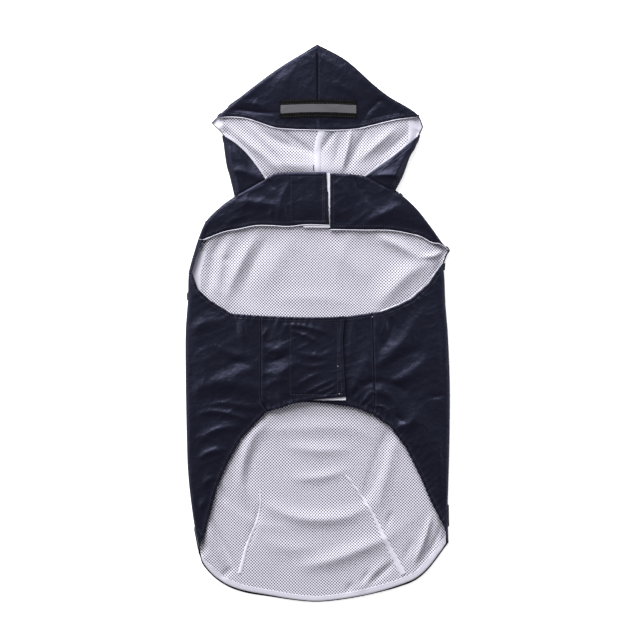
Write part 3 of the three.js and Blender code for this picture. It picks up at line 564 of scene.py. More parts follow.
def mesh_object(name, vertices, faces, materials, looks=None, attributes=None):
    """A smooth-shaded mesh object at the origin, from vertices in millimetres on the table."""
    mesh = bpy.data.meshes.new(name)
    placed = vertices * MM + TO_FRAME
    mesh.vertices.add(len(placed))
    mesh.vertices.foreach_set("co", placed.astype(np.float32).ravel())
    mesh.loops.add(faces.size)
    mesh.loops.foreach_set("vertex_index", faces.astype(np.int32).ravel())
    mesh.polygons.add(len(faces))
    mesh.polygons.foreach_set("loop_start", np.arange(0, faces.size, faces.shape[1], dtype=np.int32))
    for material in materials:
        mesh.materials.append(material)
    if looks is not None:
        mesh.polygons.foreach_set("material_index", looks.astype(np.int32))
    mesh.update(calc_edges=True)
    mesh.shade_smooth()
    for key, values in (attributes or {}).items():
        layer = mesh.attributes.new(key, "FLOAT", "POINT")
        layer.data.foreach_set("value", values.astype(np.float32))
    made = bpy.data.objects.new(name, mesh)
    bpy.context.scene.collection.objects.link(made)
    return made


def wall(name, grid, near, far, faces, materials, plain=None, rolled=None, level=False):
    """Closed cloth wall between two depths below a surface, with a rim round it. Material 0 is on
    the near side, the rim and the few millimetres turned in behind it, material 1 on the rest of the
    far side, and material 2 where a facing rolls out.
    A level wall has its depths straight up and down instead of square to its surface."""
    rows, columns = grid.shape[:2]
    count = rows * columns
    n = np.broadcast_to((0.0, 0.0, float(faces)), grid.shape) if level else normals_of(grid, faces)
    vertices = np.concatenate([(grid - n * near).reshape(-1, 3), (grid - n * far).reshape(-1, 3)])
    a = np.arange(count).reshape(rows, columns)
    outer = np.stack([a[:-1, :-1], a[:-1, 1:], a[1:, 1:], a[1:, :-1]], axis=-1).reshape(-1, 4)
    inner = outer[:, ::-1] + count
    ring = rim_of(rows, columns)
    following = np.roll(ring, -1)
    rim = np.stack([ring, ring + count, following + count, following], axis=1)
    quads = np.concatenate([outer, inner, rim])
    backs = np.zeros((rows - 1, columns - 1))
    backs[TURN_IN:-TURN_IN, TURN_IN:-TURN_IN] = 1
    looks = np.concatenate([np.zeros(len(outer)), backs.ravel(), np.zeros(len(rim))])
    if rolled is not None:
        middle = vertices[quads].mean(axis=1)
        looks = np.where(rolled(middle[:, 0], middle[:, 1]), 2, looks)
    p = vertices[quads]
    volume = (p[:, 0] * np.cross(p[:, 1] - p[:, 0], p[:, 2] - p[:, 0])).sum()
    volume += (p[:, 0] * np.cross(p[:, 2] - p[:, 0], p[:, 3] - p[:, 0])).sum()
    if volume < 0:
        quads = quads[:, ::-1]
    attributes = {}
    if plain is not None:
        attributes["plain"] = np.tile(plain(grid[..., 0], grid[..., 1]).ravel(), 2)
    made = mesh_object(name, vertices, quads, materials, looks, attributes)
    sharpen_rim(made.data, ring, count)
    return made


def sharpen_rim(mesh, ring, count):
    """Marks the edges along the two sides of the rim as sharp, so that each face shades on its own."""
    place = np.full(2 * count, -9)
    place[ring] = np.arange(len(ring))
    place[ring + count] = np.arange(len(ring)) + 10 * count
    ends = np.empty(2 * len(mesh.edges), np.int32)
    mesh.edges.foreach_get("vertices", ends)
    a, b = place[ends.reshape(-1, 2)].T
    gap = np.abs(a - b)
    sharp = (a >= 0) & (b >= 0) & ((gap == 1) | (gap == len(ring) - 1))
    layer = mesh.attributes.new("sharp_edge", "BOOLEAN", "EDGE")
    layer.data.foreach_set("value", sharp)


# The coat's own lines
fold_left = curve(SHOULDER_LEFT + SIDE_LEFT[1:])
fold_right = curve(SHOULDER_RIGHT + SIDE_RIGHT[1:])
neck = curve(NECK_SEAM)
nape = share_at_x(neck, 0)
collar_left = stretch(curve(STRAP_TOP_LEFT), 0, share_at_x(curve(STRAP_TOP_LEFT), THROAT_LEFT[0]))
collar_right = stretch(curve(STRAP_TOP_RIGHT), 1, share_at_x(curve(STRAP_TOP_RIGHT), THROAT_RIGHT[0]))
HOOD_FOLDS = [
    points_of(curve(half[key]), 60) for half in (HOOD_LEFT, HOOD_RIGHT) for key in ("crown_fold", "side_fold")
]
BODY_FOLDS = [points_of(fold_left, 90), points_of(fold_right, 90)]
COLLARS = [points_of(collar_left, 30), points_of(collar_right, 30)]


def wrap_edge(rows, first, last):
    """The free edge of a side wrap between two of its rows, as a polyline."""
    return np.array([(x, y) for fold_y, x, y in rows if first >= fold_y >= last], float)


LEG_EDGE_LEFT = np.vstack([wrap_edge(WRAP_LEFT, 96, -22), points_of(curve(FLAP_LEFT["top"]), 20)[1:]])
LEG_EDGE_RIGHT = np.vstack([wrap_edge(WRAP_RIGHT, 70, -8), points_of(curve(FLAP_RIGHT["top"]), 20)[-2::-1]])
ARCH_LEFT = np.vstack([points_of(curve(FLAP_LEFT["bottom"]), 20)[::-1], wrap_edge(WRAP_LEFT, -110, -256)])
ARCH_RIGHT = np.vstack([points_of(curve(FLAP_RIGHT["bottom"]), 20), wrap_edge(WRAP_RIGHT, -110, -250)])
FLAP_END = points_of(stations(FLAP_LEFT["end"]), 12)
SEAM_LEFT = points_of(stations(FLAP_LEFT["seam"]), 12)
SEAM_RIGHT = points_of(stations(FLAP_RIGHT["seam"]), 12)
CROWN_EDGES = [points_of(curve(half["crown_edge"]), 40) for half in (HOOD_LEFT, HOOD_RIGHT)]
FACE_EDGES = [points_of(curve(half["face_edge"]), 30) for half in (HOOD_LEFT, HOOD_RIGHT)]
STRAP_FOOT_LEFT = points_of(curve(STRAP_BOTTOM_LEFT), 40)
STRAP_FOOT_RIGHT = points_of(curve(STRAP_BOTTOM_RIGHT), 40)
OVER_LINING = [STRAP_FOOT_LEFT, STRAP_FOOT_RIGHT, ARCH_LEFT, ARCH_RIGHT]


def drooped(gap):
    """How far the edge of the upper layer droops onto the lining."""
    return -EDGE_DROOP * np.exp(-((gap / EDGE_REACH) ** 1.6))


def beside(line, gap):
    """A polyline moved sideways by a gap, to its left above zero and to its right below."""
    along = np.gradient(line, axis=0)
    along /= np.maximum(np.linalg.norm(along, axis=1, keepdims=True), 1e-9)
    return line + gap * np.stack([-along[:, 1], along[:, 0]], axis=1)


def inset(line, gap):
    """An edge as a function of the share of its length, moved sideways by a gap."""
    return by_length(beside(points_of(line, 240), gap))


def fitted(line, start, end):
    """An edge drawn to new ends, the change spread evenly along it."""
    first, last = line(0.0), line(1.0)

    def drawn(t):
        share = np.asarray(t)[..., None]
        return line(t) + (start - first) * (1 - share) + (end - last) * share

    return drawn


def trimmed(line, start, end):
    """A polyline without so many millimetres at its start and its end."""
    at = np.concatenate([[0], np.cumsum(np.linalg.norm(np.diff(line, axis=0), axis=1))])
    keep = np.arange(start, at[-1] - end, 1.0)
    return np.stack([np.interp(keep, at, line[:, k]) for k in (0, 1)], axis=1)


def beyond(lines, sides):
    """A test for places past the edges of a piece, where its facing rolls out into view."""
    def test(x, y):
        past = np.zeros(np.shape(x), bool)
        for line, outer in zip(lines, sides):
            gap, _, side = nearest(x, y, line)
            past |= (gap < 2.5) & (side == outer)
        return past
    return test


def let_out(rows, keep, gap=EDGE_ROLL):
    """Rows of an edge lowered by the width of the rolled facing, all but one end of it."""
    return [row if k == keep % len(rows) else (row[0], row[1] - gap) for k, row in enumerate(rows)]


def fold_gap(x, y):
    """Distance in from the side folds of the body."""
    return gap_to(x, y, BODY_FOLDS)


def hood_gap(x, y):
    """Distance in from the folds of the hood."""
    return gap_to(x, y, HOOD_FOLDS)


def back_waves(x, y):
    """Low creases of the back, raised off the floor by less than a millimetre."""
    return creases(x, y, BACK_CREASES)


def back_height(x, y):
    """The back lies on the floor and turns up at its side folds."""
    gap = fold_gap(x, y)
    return lower_turn(BODY_FOLD, gap) + back_waves(x, y) * smooth(gap, 3, 20)


def lining_height(x, y):
    """The lining follows the back, rises in soft folds of its own and lifts to meet the layer above."""
    gap = fold_gap(x, y)
    edge = gap_to(x, y, OVER_LINING)
    lift = LINING_LIFT * np.exp(-((edge / EDGE_REACH) ** 1.5))
    own = lift + LINING_DEPTH * creases(x, y, LINING_CREASES) + 0.5 * waves(x, y, 30, 3) + LINING_LOFT
    own = np.maximum(own, 0.0)
    return lower_turn(BODY_FOLD, gap) + (own + back_waves(x, y)) * smooth(gap, 2.5, 14)


def upper_height(x, y):
    """The upper layer comes round the side folds and rises a little, with creases and ripples on it."""
    gap = fold_gap(x, y)
    rise = BODY_RISE * (1 - np.exp(-gap / BODY_RISE_REACH))
    relief = UPPER_DEPTH * creases(x, y, UPPER_CREASES, 1.2) + 0.5 * waves(x, y, 42, 7)
    relief = relief + 0.7 * crinkle(x, y, 11, 25)
    return upper_turn(BODY_FOLD, gap) + rise + relief * smooth(gap, 2.5, 15)


def seam_dip(gap):
    """A sewn seam: a narrow dip with the allowance making a low ridge beside it."""
    return 0.12 * np.exp(-(((gap - 3.4) / 2.0) ** 2)) - 1.3 * np.exp(-((gap / 0.75) ** 2))


def box_dip(x, y, left, right, top, foot):
    """Four rows of stitches round a rectangle, pressed into the cloth."""
    across = np.minimum(np.abs(x - left), np.abs(x - right))
    down = np.minimum(np.abs(y - top), np.abs(y - foot))
    inside = (x > left - 1.5) & (x < right + 1.5) & (y < top + 1.5) & (y > foot - 1.5)
    gap = np.where(inside, np.minimum(across, down), 99)
    return -0.25 * np.exp(-((gap / 1.0) ** 2))


def belly_left_height(x, y):
    """Left side of the belly: leg edge, arch and flap end are elastic or turned hems, and the flap
    lies over the right one."""
    leg, along_leg, _ = nearest(x, y, LEG_EDGE_LEFT)
    arch, along_arch, _ = nearest(x, y, ARCH_LEFT)
    end = nearest(x, y, FLAP_END)[0]
    seam = nearest(x, y, SEAM_LEFT)[0]
    edges = puckers(leg, along_leg, 8.5, 11, 0.7, 21) + puckers(arch, along_arch, 7.5, 10, 0.8, 22)
    edges += hem_profile(np.minimum(np.minimum(leg, arch), end)) + seam_dip(seam)
    edges += box_dip(x, y, *BELLY_BOX)
    edges += drooped(np.minimum(arch, nearest(x, y, ARCH_RIGHT)[0]))
    lift = FLAP_LIFT * smooth(x, -62, -36)
    return upper_height(x, y) + lift + edges * smooth(fold_gap(x, y), 2, 6)


def belly_right_height(x, y):
    """Right side of the belly: leg edge and arch are elastic hems, and the flap runs under the left one."""
    leg, along_leg, _ = nearest(x, y, LEG_EDGE_RIGHT)
    arch, along_arch, _ = nearest(x, y, ARCH_RIGHT)
    seam = nearest(x, y, SEAM_RIGHT)[0]
    edges = puckers(leg, along_leg, 9.5, 12, 0.5, 23) + puckers(arch, along_arch, 7.5, 11, 0.8, 24)
    edges += hem_profile(np.minimum(leg, arch)) + seam_dip(seam)
    edges *= 0.25 + 0.75 * smooth(x, 26, 40)
    edges += drooped(np.minimum(arch, nearest(x, y, ARCH_LEFT)[0]))
    return upper_height(x, y) + edges * smooth(fold_gap(x, y), 2, 6)


def strap_edges(x, y, foot_line, top_rows, end):
    """A chest strap's hems along its foot and its free end, and the dip of its neck seam."""
    foot = nearest(x, y, foot_line)[0]
    top = nearest(x, y, points_of(curve(top_rows), 40))[0]
    hems = hem_profile(np.minimum(foot, np.abs(x - end)))
    return drooped(foot) + hems - NECK_SEAM_DIP * np.exp(-((top / 1.2) ** 2))


def strap_left_height(x, y):
    """Left chest strap, with its stitched box of loop tape at the free end."""
    edges = strap_edges(x, y, STRAP_FOOT_LEFT, STRAP_TOP_LEFT, STRAP_END_LEFT) + box_dip(x, y, *CHEST_BOX)
    return upper_height(x, y) + edges * smooth(fold_gap(x, y), 2, 6)


def strap_right_height(x, y):
    """Right chest strap, hemmed along its foot and its free end."""
    edges = strap_edges(x, y, STRAP_FOOT_RIGHT, STRAP_TOP_RIGHT, STRAP_END_RIGHT)
    return upper_height(x, y) + edges * smooth(fold_gap(x, y), 2, 6)


def hood_back_height(x, y):
    """The back half of the hood lies on the floor and turns up at its folds."""
    return lower_turn(HOOD_FOLD, hood_gap(x, y))


def hood_lining_height(x, y):
    """The hood's lining has folds that fan out from the throat, and lifts to meet the brow."""
    own = HOOD_LINING_DEPTH * creases(x, y, HOOD_LINING_CREASES) + 0.3 * waves(x, y, 24, 5) + HOOD_LINING_LOFT
    edge = gap_to(x, y, CROWN_EDGES)
    own += HOOD_LINING_LIFT * np.exp(-((edge / HOOD_LIFT_REACH) ** 1.5)) * (1 - (x / HOOD_HALF_WIDTH) ** 2)
    gap = hood_gap(x, y)
    return lower_turn(HOOD_FOLD, gap) + np.maximum(own, 0.0) * smooth(gap, 2, 12)


def crown_height(x, y):
    """The crown's arch, with a dip along its centre seam."""
    depth = CROWN_SEAM_DEPTH + CROWN_SEAM_DEEPER * smooth(y, 228, 240)
    return crown_arch(x, y) - depth * np.exp(-((x / 1.0) ** 2)) * smooth(hood_gap(x, y), 2, 12)


def crown_arch(x, y):
    """The crown arches over the back half, lower towards its corners, and its brow droops onto the lining."""
    gap = hood_gap(x, y)
    rise = CROWN_RISE * np.sin(math.pi / 2 * np.minimum(1, gap / CROWN_RISE_REACH))
    taper = 1 - CROWN_TAPER * (x / HOOD_HALF_WIDTH) ** 2
    relief = creases(x, y, CROWN_CREASES) + 0.4 * waves(x, y, 36, 9) + 0.45 * crinkle(x, y, 15, 60)
    edge = gap_to(x, y, CROWN_EDGES)
    droop = BROW_DROOP * np.exp(-((edge / BROW_REACH) ** 1.6)) * (1 - (x / HOOD_HALF_WIDTH) ** 2)
    relief += hem_profile(edge)
    free = upper_turn(HOOD_FOLD, gap) + (rise * taper + relief - droop) * smooth(gap, 2, 12)
    least = hood_lining_height(x, y) + LINING_FAR + LAYER_GAP + 1.3 * np.exp(-((x / 17) ** 4))
    return above(free, least)


def hood_side_height(x, y):
    """The side of the hood starts at its own fold and ends level with the chest strap."""
    gap = hood_gap(x, y)
    collar = gap_to(x, y, COLLARS)
    joined = 1 - smooth(collar, 0, COLLAR_REACH)
    start = upper_turn(HOOD_FOLD, gap)
    top = (start + HOOD_SIDE_RISE) * (1 - joined) + upper_height(x, y) * joined
    turn = smooth(gap, 0, HOOD_FOLD * 2)
    face = gap_to(x, y, FACE_EDGES)
    relief = creases(x, y, SIDE_CREASES) + hem_profile(face) - NECK_SEAM_DIP * np.exp(-((collar / 1.2) ** 2))
    relief -= 4 * (1 - joined) * np.exp(-((face / 9) ** 1.6))
    free = start * (1 - turn) + top * turn + relief * turn
    least = hood_lining_height(x, y) + LINING_FAR + LAYER_GAP
    return above(free, least)


# Colours are sRGB hex values
NAVY = "10111a"
NAVY_LIGHT = "181926"
KNIT_YARN = "f4f1ff"
KNIT_HOLE = "20203a"
KNIT_PLAIN = "d9d7e6"
WHITE_TAPE = "e8e6f3"
PRESSED_TAPE = "e0deec"
HEM_WHITE = "d3d1df"
SILVER_DARK = "616065"
SILVER_LIGHT = "6f6e74"
BLACK = "060607"
NAVY_THREAD = "262837"
BLACK_THREAD = "19191b"
WHITE_THREAD = "e4e3ee"
FLOOR = "ffffff"


def linear(text):
    """An sRGB hex value as linear red, green, blue and a full alpha."""
    values = np.array([int(text[k : k + 2], 16) for k in (0, 2, 4)]) / 255
    flat = np.where(values <= 0.04045, values / 12.92, ((values + 0.055) / 1.055) ** 2.4)
    return (*flat.tolist(), 1.0)


def add(tree, kind, inputs=None, **settings):
    """Adds a node with its settings, and fills its sockets with values or with other nodes' sockets."""
    made = tree.nodes.new(kind)
    for key, value in settings.items():
        setattr(made, key, value)
    for key, value in (inputs or {}).items():
        if isinstance(value, bpy.types.NodeSocket):
            tree.links.new(value, made.inputs[key])
        else:
            made.inputs[key].default_value = value
    return made


def new_material(name):
    """An empty node material, and its object coordinates."""
    material = bpy.data.materials.new(name)
    material.use_nodes = True
    material.node_tree.nodes.clear()
    place = add(material.node_tree, "ShaderNodeTexCoord").outputs["Object"]
    return material, material.node_tree, place


def finish_material(tree, values):
    """Joins a shader with these values to the output."""
    shader = add(tree, "ShaderNodeBsdfPrincipled", values)
    add(tree, "ShaderNodeOutputMaterial", {"Surface": shader.outputs["BSDF"]})


def weave_of(tree, place, pitch, degrees=0.0):
    """Threads across each other: the product of two sines, one thread to a half wave of each."""
    turn = (0, 0, math.radians(degrees))
    turned_place = add(tree, "ShaderNodeMapping", {"Vector": place, "Rotation": turn})
    parts = add(tree, "ShaderNodeSeparateXYZ", {"Vector": turned_place.outputs[0]})
    rate = math.pi / (pitch * MM)
    sines = []
    for axis in "XY":
        phase = add(tree, "ShaderNodeMath", {0: parts.outputs[axis], 1: rate}, operation="MULTIPLY")
        sines.append(add(tree, "ShaderNodeMath", {0: phase.outputs[0]}, operation="SINE").outputs[0])
    return add(tree, "ShaderNodeMath", {0: sines[0], 1: sines[1]}, operation="MULTIPLY").outputs[0]


def coated_polyester():
    """Polyester taffeta with a thin waterproof coating: closed and nearly black when flat to the
    eye, with a soft bluish sheen on its creases. Its 0.3 mm threads are drawn 1.6 mm apart to show."""
    material, tree, place = new_material("coated_polyester_taffeta")
    cloud = add(tree, "ShaderNodeTexNoise", {"Vector": place, "Scale": 24, "Detail": 3})
    tint = add(
        tree,
        "ShaderNodeMix",
        {0: cloud.outputs["Fac"], 6: linear(NAVY), 7: linear(NAVY_LIGHT)},
        data_type="RGBA",
    )
    weave = weave_of(tree, place, 1.6)
    fine = add(tree, "ShaderNodeBump", {"Height": weave, "Strength": 0.15, "Distance": 0.2 * MM})
    rumple = add(
        tree, "ShaderNodeTexNoise", {"Vector": place, "Scale": 120, "Detail": 4, "Roughness": 0.6}
    )
    bump = add(
        tree,
        "ShaderNodeBump",
        {
            "Height": rumple.outputs["Fac"],
            "Strength": 0.6,
            "Distance": 1.5 * MM,
            "Normal": fine.outputs[0],
        },
    )
    shine = add(
        tree, "ShaderNodeMapRange", {"Value": cloud.outputs["Fac"], "To Min": 0.33, "To Max": 0.42}
    )
    finish_material(tree, {
        "Base Color": tint.outputs[2],
        "Roughness": shine.outputs[0],
        "IOR": 1.48,
        "Specular IOR Level": 0.4,
        "Specular Tint": linear("ccd0ff"),
        "Normal": bump.outputs[0],
    })
    return material


def mesh_lining():
    """Warp-knitted polyester mesh: white yarn round small open holes, 2.42 mm from hole to hole on a
    lattice turned 42 degrees, so 1.71 mm between level rows. The knit lies a little drawn out of
    square, and the holes read as fine grey dots. Where the attribute plain is 1 it is a closed facing."""
    material, tree, place = new_material("warp_knit_polyester_mesh")
    drawn = add(tree, "ShaderNodeTexNoise", {"Vector": place, "Scale": 16, "Detail": 1})
    shift = add(
        tree, "ShaderNodeVectorMath", {0: drawn.outputs["Color"], 1: (0.5, 0.5, 0.5)}, operation="SUBTRACT"
    )
    slide = add(tree, "ShaderNodeVectorMath", {0: shift.outputs[0], "Scale": 6 * MM}, operation="SCALE")
    bent = add(tree, "ShaderNodeVectorMath", {0: place, 1: slide.outputs[0]}, operation="ADD")
    weave = weave_of(tree, bent.outputs[0], 1.71, -1.5)
    open_part = add(tree, "ShaderNodeMapRange", {"Value": weave, "From Min": -0.42, "From Max": 0.62})
    facing = add(tree, "ShaderNodeAttribute", attribute_name="plain").outputs["Fac"]
    knit = add(tree, "ShaderNodeMath", {0: 1.0, 1: facing}, operation="SUBTRACT").outputs[0]
    holes = add(
        tree, "ShaderNodeMath", {0: open_part.outputs[0], 1: knit}, operation="MULTIPLY"
    ).outputs[0]
    dotted = add(
        tree, "ShaderNodeMix", {0: holes, 6: linear(KNIT_YARN), 7: linear(KNIT_HOLE)}, data_type="RGBA"
    )
    colour = add(
        tree, "ShaderNodeMix", {0: facing, 6: dotted.outputs[2], 7: linear(KNIT_PLAIN)}, data_type="RGBA"
    )
    depth = add(tree, "ShaderNodeMath", {0: holes, 1: -1.0}, operation="MULTIPLY")
    bump = add(
        tree, "ShaderNodeBump", {"Height": depth.outputs[0], "Strength": 0.5, "Distance": 0.4 * MM}
    )
    finish_material(tree, {
        "Base Color": colour.outputs[2],
        "Roughness": 0.75,
        "IOR": 1.45,
        "Normal": bump.outputs[0],
        "Sheen Weight": 0.1,
    })
    return material


def woven_tape(name, colour, pitch, roughness, strength, shine=0.5):
    """Woven polyester tape: fine even threads, flat and matt, a little uneven in tone."""
    material, tree, place = new_material(name)
    weave = weave_of(tree, place, pitch)
    bump = add(tree, "ShaderNodeBump", {"Height": weave, "Strength": strength, "Distance": 0.3 * MM})
    cloud = add(tree, "ShaderNodeTexNoise", {"Vector": place, "Scale": 160, "Detail": 3})
    dark = tuple(0.88 * c for c in linear(colour)[:3]) + (1.0,)
    tint = add(
        tree, "ShaderNodeMix", {0: cloud.outputs["Fac"], 6: dark, 7: linear(colour)}, data_type="RGBA"
    )
    finish_material(tree, {
        "Base Color": tint.outputs[2],
        "Roughness": roughness,
        "IOR": 1.5,
        "Specular IOR Level": shine,
        "Normal": bump.outputs[0],
    })
    return material


def loop_pile():
    """Loop side of a hook and loop tape: nylon loops brushed upright, so it is soft and matt."""
    material, tree, place = new_material("brushed_nylon_loop")
    pile = add(
        tree, "ShaderNodeTexNoise", {"Vector": place, "Scale": 900, "Detail": 4, "Roughness": 0.7}
    ).outputs["Fac"]
    bump = add(tree, "ShaderNodeBump", {"Height": pile, "Strength": 0.7, "Distance": 0.6 * MM})
    tint = add(
        tree, "ShaderNodeMix", {0: pile, 6: linear("d8d7e4"), 7: linear(WHITE_TAPE)}, data_type="RGBA"
    )
    finish_material(tree, {
        "Base Color": tint.outputs[2],
        "Roughness": 0.9,
        "IOR": 1.5,
        "Normal": bump.outputs[0],
        "Sheen Weight": 0.4,
    })
    return material


def glass_bead_film():
    """Retroreflective film of fine glass beads on metal: flat grey with a weak shine in plain light."""
    material, tree, place = new_material("glass_bead_reflective_film")
    beads = add(
        tree, "ShaderNodeTexNoise", {"Vector": place, "Scale": 700, "Detail": 3, "Roughness": 0.7}
    )
    bump = add(
        tree, "ShaderNodeBump", {"Height": beads.outputs["Fac"], "Strength": 0.25, "Distance": 0.2 * MM}
    )
    cloud = add(tree, "ShaderNodeTexNoise", {"Vector": place, "Scale": 40, "Detail": 2})
    tint = add(
        tree,
        "ShaderNodeMix",
        {0: cloud.outputs["Fac"], 6: linear(SILVER_DARK), 7: linear(SILVER_LIGHT)},
        data_type="RGBA",
    )
    finish_material(tree, {
        "Base Color": tint.outputs[2],
        "Metallic": 0.35,
        "Roughness": 0.5,
        "IOR": 1.5,
        "Normal": bump.outputs[0],
    })
    return material


def sewing_thread(name, colour):
    """Spun polyester thread: two plies twisted, round and slightly shiny."""
    material, tree, place = new_material(name)
    ply = add(tree, "ShaderNodeTexNoise", {"Vector": place, "Scale": 2500, "Detail": 1}).outputs["Fac"]
    bump = add(tree, "ShaderNodeBump", {"Height": ply, "Strength": 0.3, "Distance": 0.1 * MM})
    dark = tuple(0.8 * c for c in linear(colour)[:3]) + (1.0,)
    tint = add(tree, "ShaderNodeMix", {0: ply, 6: dark, 7: linear(colour)}, data_type="RGBA")
    finish_material(tree, {
        "Base Color": tint.outputs[2],
        "Roughness": 0.5,
        "IOR": 1.5,
        "Normal": bump.outputs[0],
    })
    return material


SHELL = coated_polyester()
MESH = mesh_lining()
HEM_TAPE = woven_tape("matt_polyester_hem_facing", HEM_WHITE, 1.0, 0.8, 0.2)
PRESSED = woven_tape("pressed_polyester_tape", PRESSED_TAPE, 1.0, 0.75, 0.2)
BLACK_TAPE = woven_tape("black_grosgrain_tape", BLACK, 1.4, 0.8, 0.5, 0.15)
LOOP = loop_pile()
FILM = glass_bead_film()
NAVY_STITCH = sewing_thread("navy_polyester_thread", NAVY_THREAD)
BLACK_STITCH = sewing_thread("black_polyester_thread", BLACK_THREAD)
WHITE_STITCH = sewing_thread("white_polyester_thread", WHITE_THREAD)


def dress(piece, nodes):
    """Attaches a cloth piece to the root body and hides the parts of the packed model that it stands for."""
    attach(piece, "root")
    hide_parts(*nodes)
    return piece


def back_grid(us, vs):
    """Flat panel of the whole back, from the neck seam to the hem."""
    return panel(neck, curve(HEM), fold_left, fold_right, us, vs)


def lining_grid(us, vs):
    """Flat panel of the lining, inside the turn of both side folds."""
    left, right = inset(fold_left, LINING_INSET), inset(fold_right, -LINING_INSET)
    top = fitted(neck, left(0.0), right(0.0))
    return panel(top, fitted(curve(HEM), left(1.0), right(1.0)), left, right, us, vs)


def lining_columns(us, shares):
    """Flat grid of the lining whose columns have their own shares of its length."""
    flat = np.empty((*shares.shape, 2))
    for k in range(len(us)):
        flat[:, k] = lining_grid(us[k : k + 1], shares[:, k])[:, 0]
    return flat


def facing_share(us):
    """Width of the hem facing: narrow at the middle of the back and wider to the sides."""
    return 6.5 + 5 * np.abs(2 * us - 1) ** 1.5


def back_shell():
    """Outer cloth of the back, from side fold to side fold."""
    us = steps(BACK_WIDTH, 2.4, "body", "body")
    vs = steps(BACK_LENGTH, 2.4, None, "seam")
    grid = raised(back_grid(us, vs), back_height)
    piece = wall("back_shell_cloth", grid, 0, CLOTH, -1, [SHELL, SHELL])
    return dress(piece, ["back_shell"])


def facing_zone(x, y):
    """Where the lining is faced with plain cloth: a strip inside the left end of the leg opening."""
    gap = nearest(x, y, BODY_FOLDS[0])[0]
    return (1 - smooth(gap, 13, 14)) * smooth(y, 28, 34) * (1 - smooth(y, 78, 84))


def back_lining():
    """Mesh lining of the back, down to the hem facing."""
    us = steps(BACK_WIDTH, 2.0, "body", "body")
    vs = steps(BACK_LENGTH, 2.0)
    foot = 1 - (facing_share(us) - 0.1) / BACK_LENGTH
    grid = raised(lining_columns(us, vs[:, None] * foot), lining_height)
    near, far = LINING_NEAR, LINING_FAR
    piece = wall("back_lining_cloth", grid, near, far, -1, [MESH, MESH], facing_zone, level=True)
    return dress(piece, ["back_lining"])


def hem_facing():
    """Plain facing sewn inside the hem."""
    us = steps(BACK_WIDTH, 2.0)
    us = us[(us > 0.004) & (us < 0.996)]
    vs = np.array([0, 0.08, 0.3, 0.5, 0.7, 0.92, 1.0])
    dark = 1.1 * np.exp(-(((us - 0.25) / 0.1) ** 2)) + 1.0 * np.exp(-(((us - 0.8) / 0.08) ** 2))
    top, foot = 1 - facing_share(us) / BACK_LENGTH, 1 - (1.0 + 0.9 * dark) / BACK_LENGTH
    bulge = np.array([-0.35, -0.15, 0, 0.05, 0.1, 0.05, -0.3])[:, None]
    grid = raised(lining_columns(us, top + (foot - top) * vs[:, None]), lining_height)
    grid[..., 2] += bulge
    near, far = LINING_NEAR + 0.3, LINING_FAR + 0.3
    piece = wall("hem_facing_tape", grid, near, far, -1, [HEM_TAPE, HEM_TAPE], level=True)
    return dress(piece, ["hem_facing"])


def tape_grid(rows, us, vs):
    """Grid down a centre line whose rows give x, y and width."""
    centre = curve([r[:2] for r in rows])
    widths = stations([r[2:] for r in rows])(vs)
    along = centre(np.clip(vs + 0.01, 0, 1)) - centre(np.clip(vs - 0.01, 0, 1))
    along /= np.linalg.norm(along, axis=1, keepdims=True)
    across = np.stack([along[:, 1], -along[:, 0]], axis=1)
    return centre(vs)[:, None] + across[:, None] * ((us - 0.5)[None] * widths)[..., None]


def dart_tape(name, node, rows):
    """Tape over a rump dart, on the lining, pressed flat at both edges."""
    us, vs = np.linspace(0, 1, 11), np.linspace(0, 1, 90)
    grid = raised(tape_grid(rows, us, vs), lining_height)
    grid[..., 2] += 0.85 * np.sin(math.pi * us)[None] ** 0.6 - 0.75
    near = LINING_FAR + 0.05
    piece = wall(name, grid, near, near + TAPE, -1, [PRESSED, PRESSED], level=True)
    return dress(piece, [node])


def rectangle(box, us, vs):
    """Flat grid between left, right, top and foot."""
    left, right, top, foot = box
    x = left + (right - left) * us[None] + 0 * vs[:, None]
    y = top + (foot - top) * vs[:, None] + 0 * us[None]
    return np.dstack([x, y])


def strap_left():
    """Left chest strap: from the left side fold across the chest, over the tab."""
    us, vs = steps(140, 1.3, "body", "hem"), steps(60, 1.3, "seam", "hem")
    foot = let_out(STRAP_BOTTOM_LEFT, 0)
    flat = panel(
        curve(STRAP_TOP_LEFT), curve(foot), curve(SHOULDER_LEFT),
        stations([STRAP_TOP_LEFT[-1], foot[-1]]), us, vs,
    )
    grid = drop_to(raised(flat, strap_left_height), 0, BODY_FOLD)
    rolled = beyond([STRAP_FOOT_LEFT], [-1])
    piece = wall("chest_strap_left_cloth", grid, 0, CLOTH, 1, [SHELL, MESH, PRESSED], None, rolled)
    return dress(piece, ["chest_strap_left"])


def strap_right():
    """Right chest strap: from the right side fold to the middle of the chest."""
    us, vs = steps(115, 1.3, "hem", "body"), steps(60, 1.3, "seam", "hem")
    foot = let_out(STRAP_BOTTOM_RIGHT, -1)
    flat = panel(
        curve(STRAP_TOP_RIGHT), curve(foot),
        stations([STRAP_TOP_RIGHT[0], foot[0]]), curve(SHOULDER_RIGHT), us, vs,
    )
    grid = drop_to(raised(flat, strap_right_height), -1, BODY_FOLD)
    rolled = beyond([STRAP_FOOT_RIGHT], [-1])
    piece = wall("chest_strap_right_cloth", grid, 0, CLOTH, 1, [SHELL, MESH, PRESSED], None, rolled)
    return dress(piece, ["chest_strap_right"])


def fold_points(side, rows):
    """Points of a side fold at the fold heights of a wrap's rows."""
    line = points_of(curve(side), 401)
    return [tuple(line[np.argmin(np.abs(line[:, 1] - row[0]))]) for row in rows]


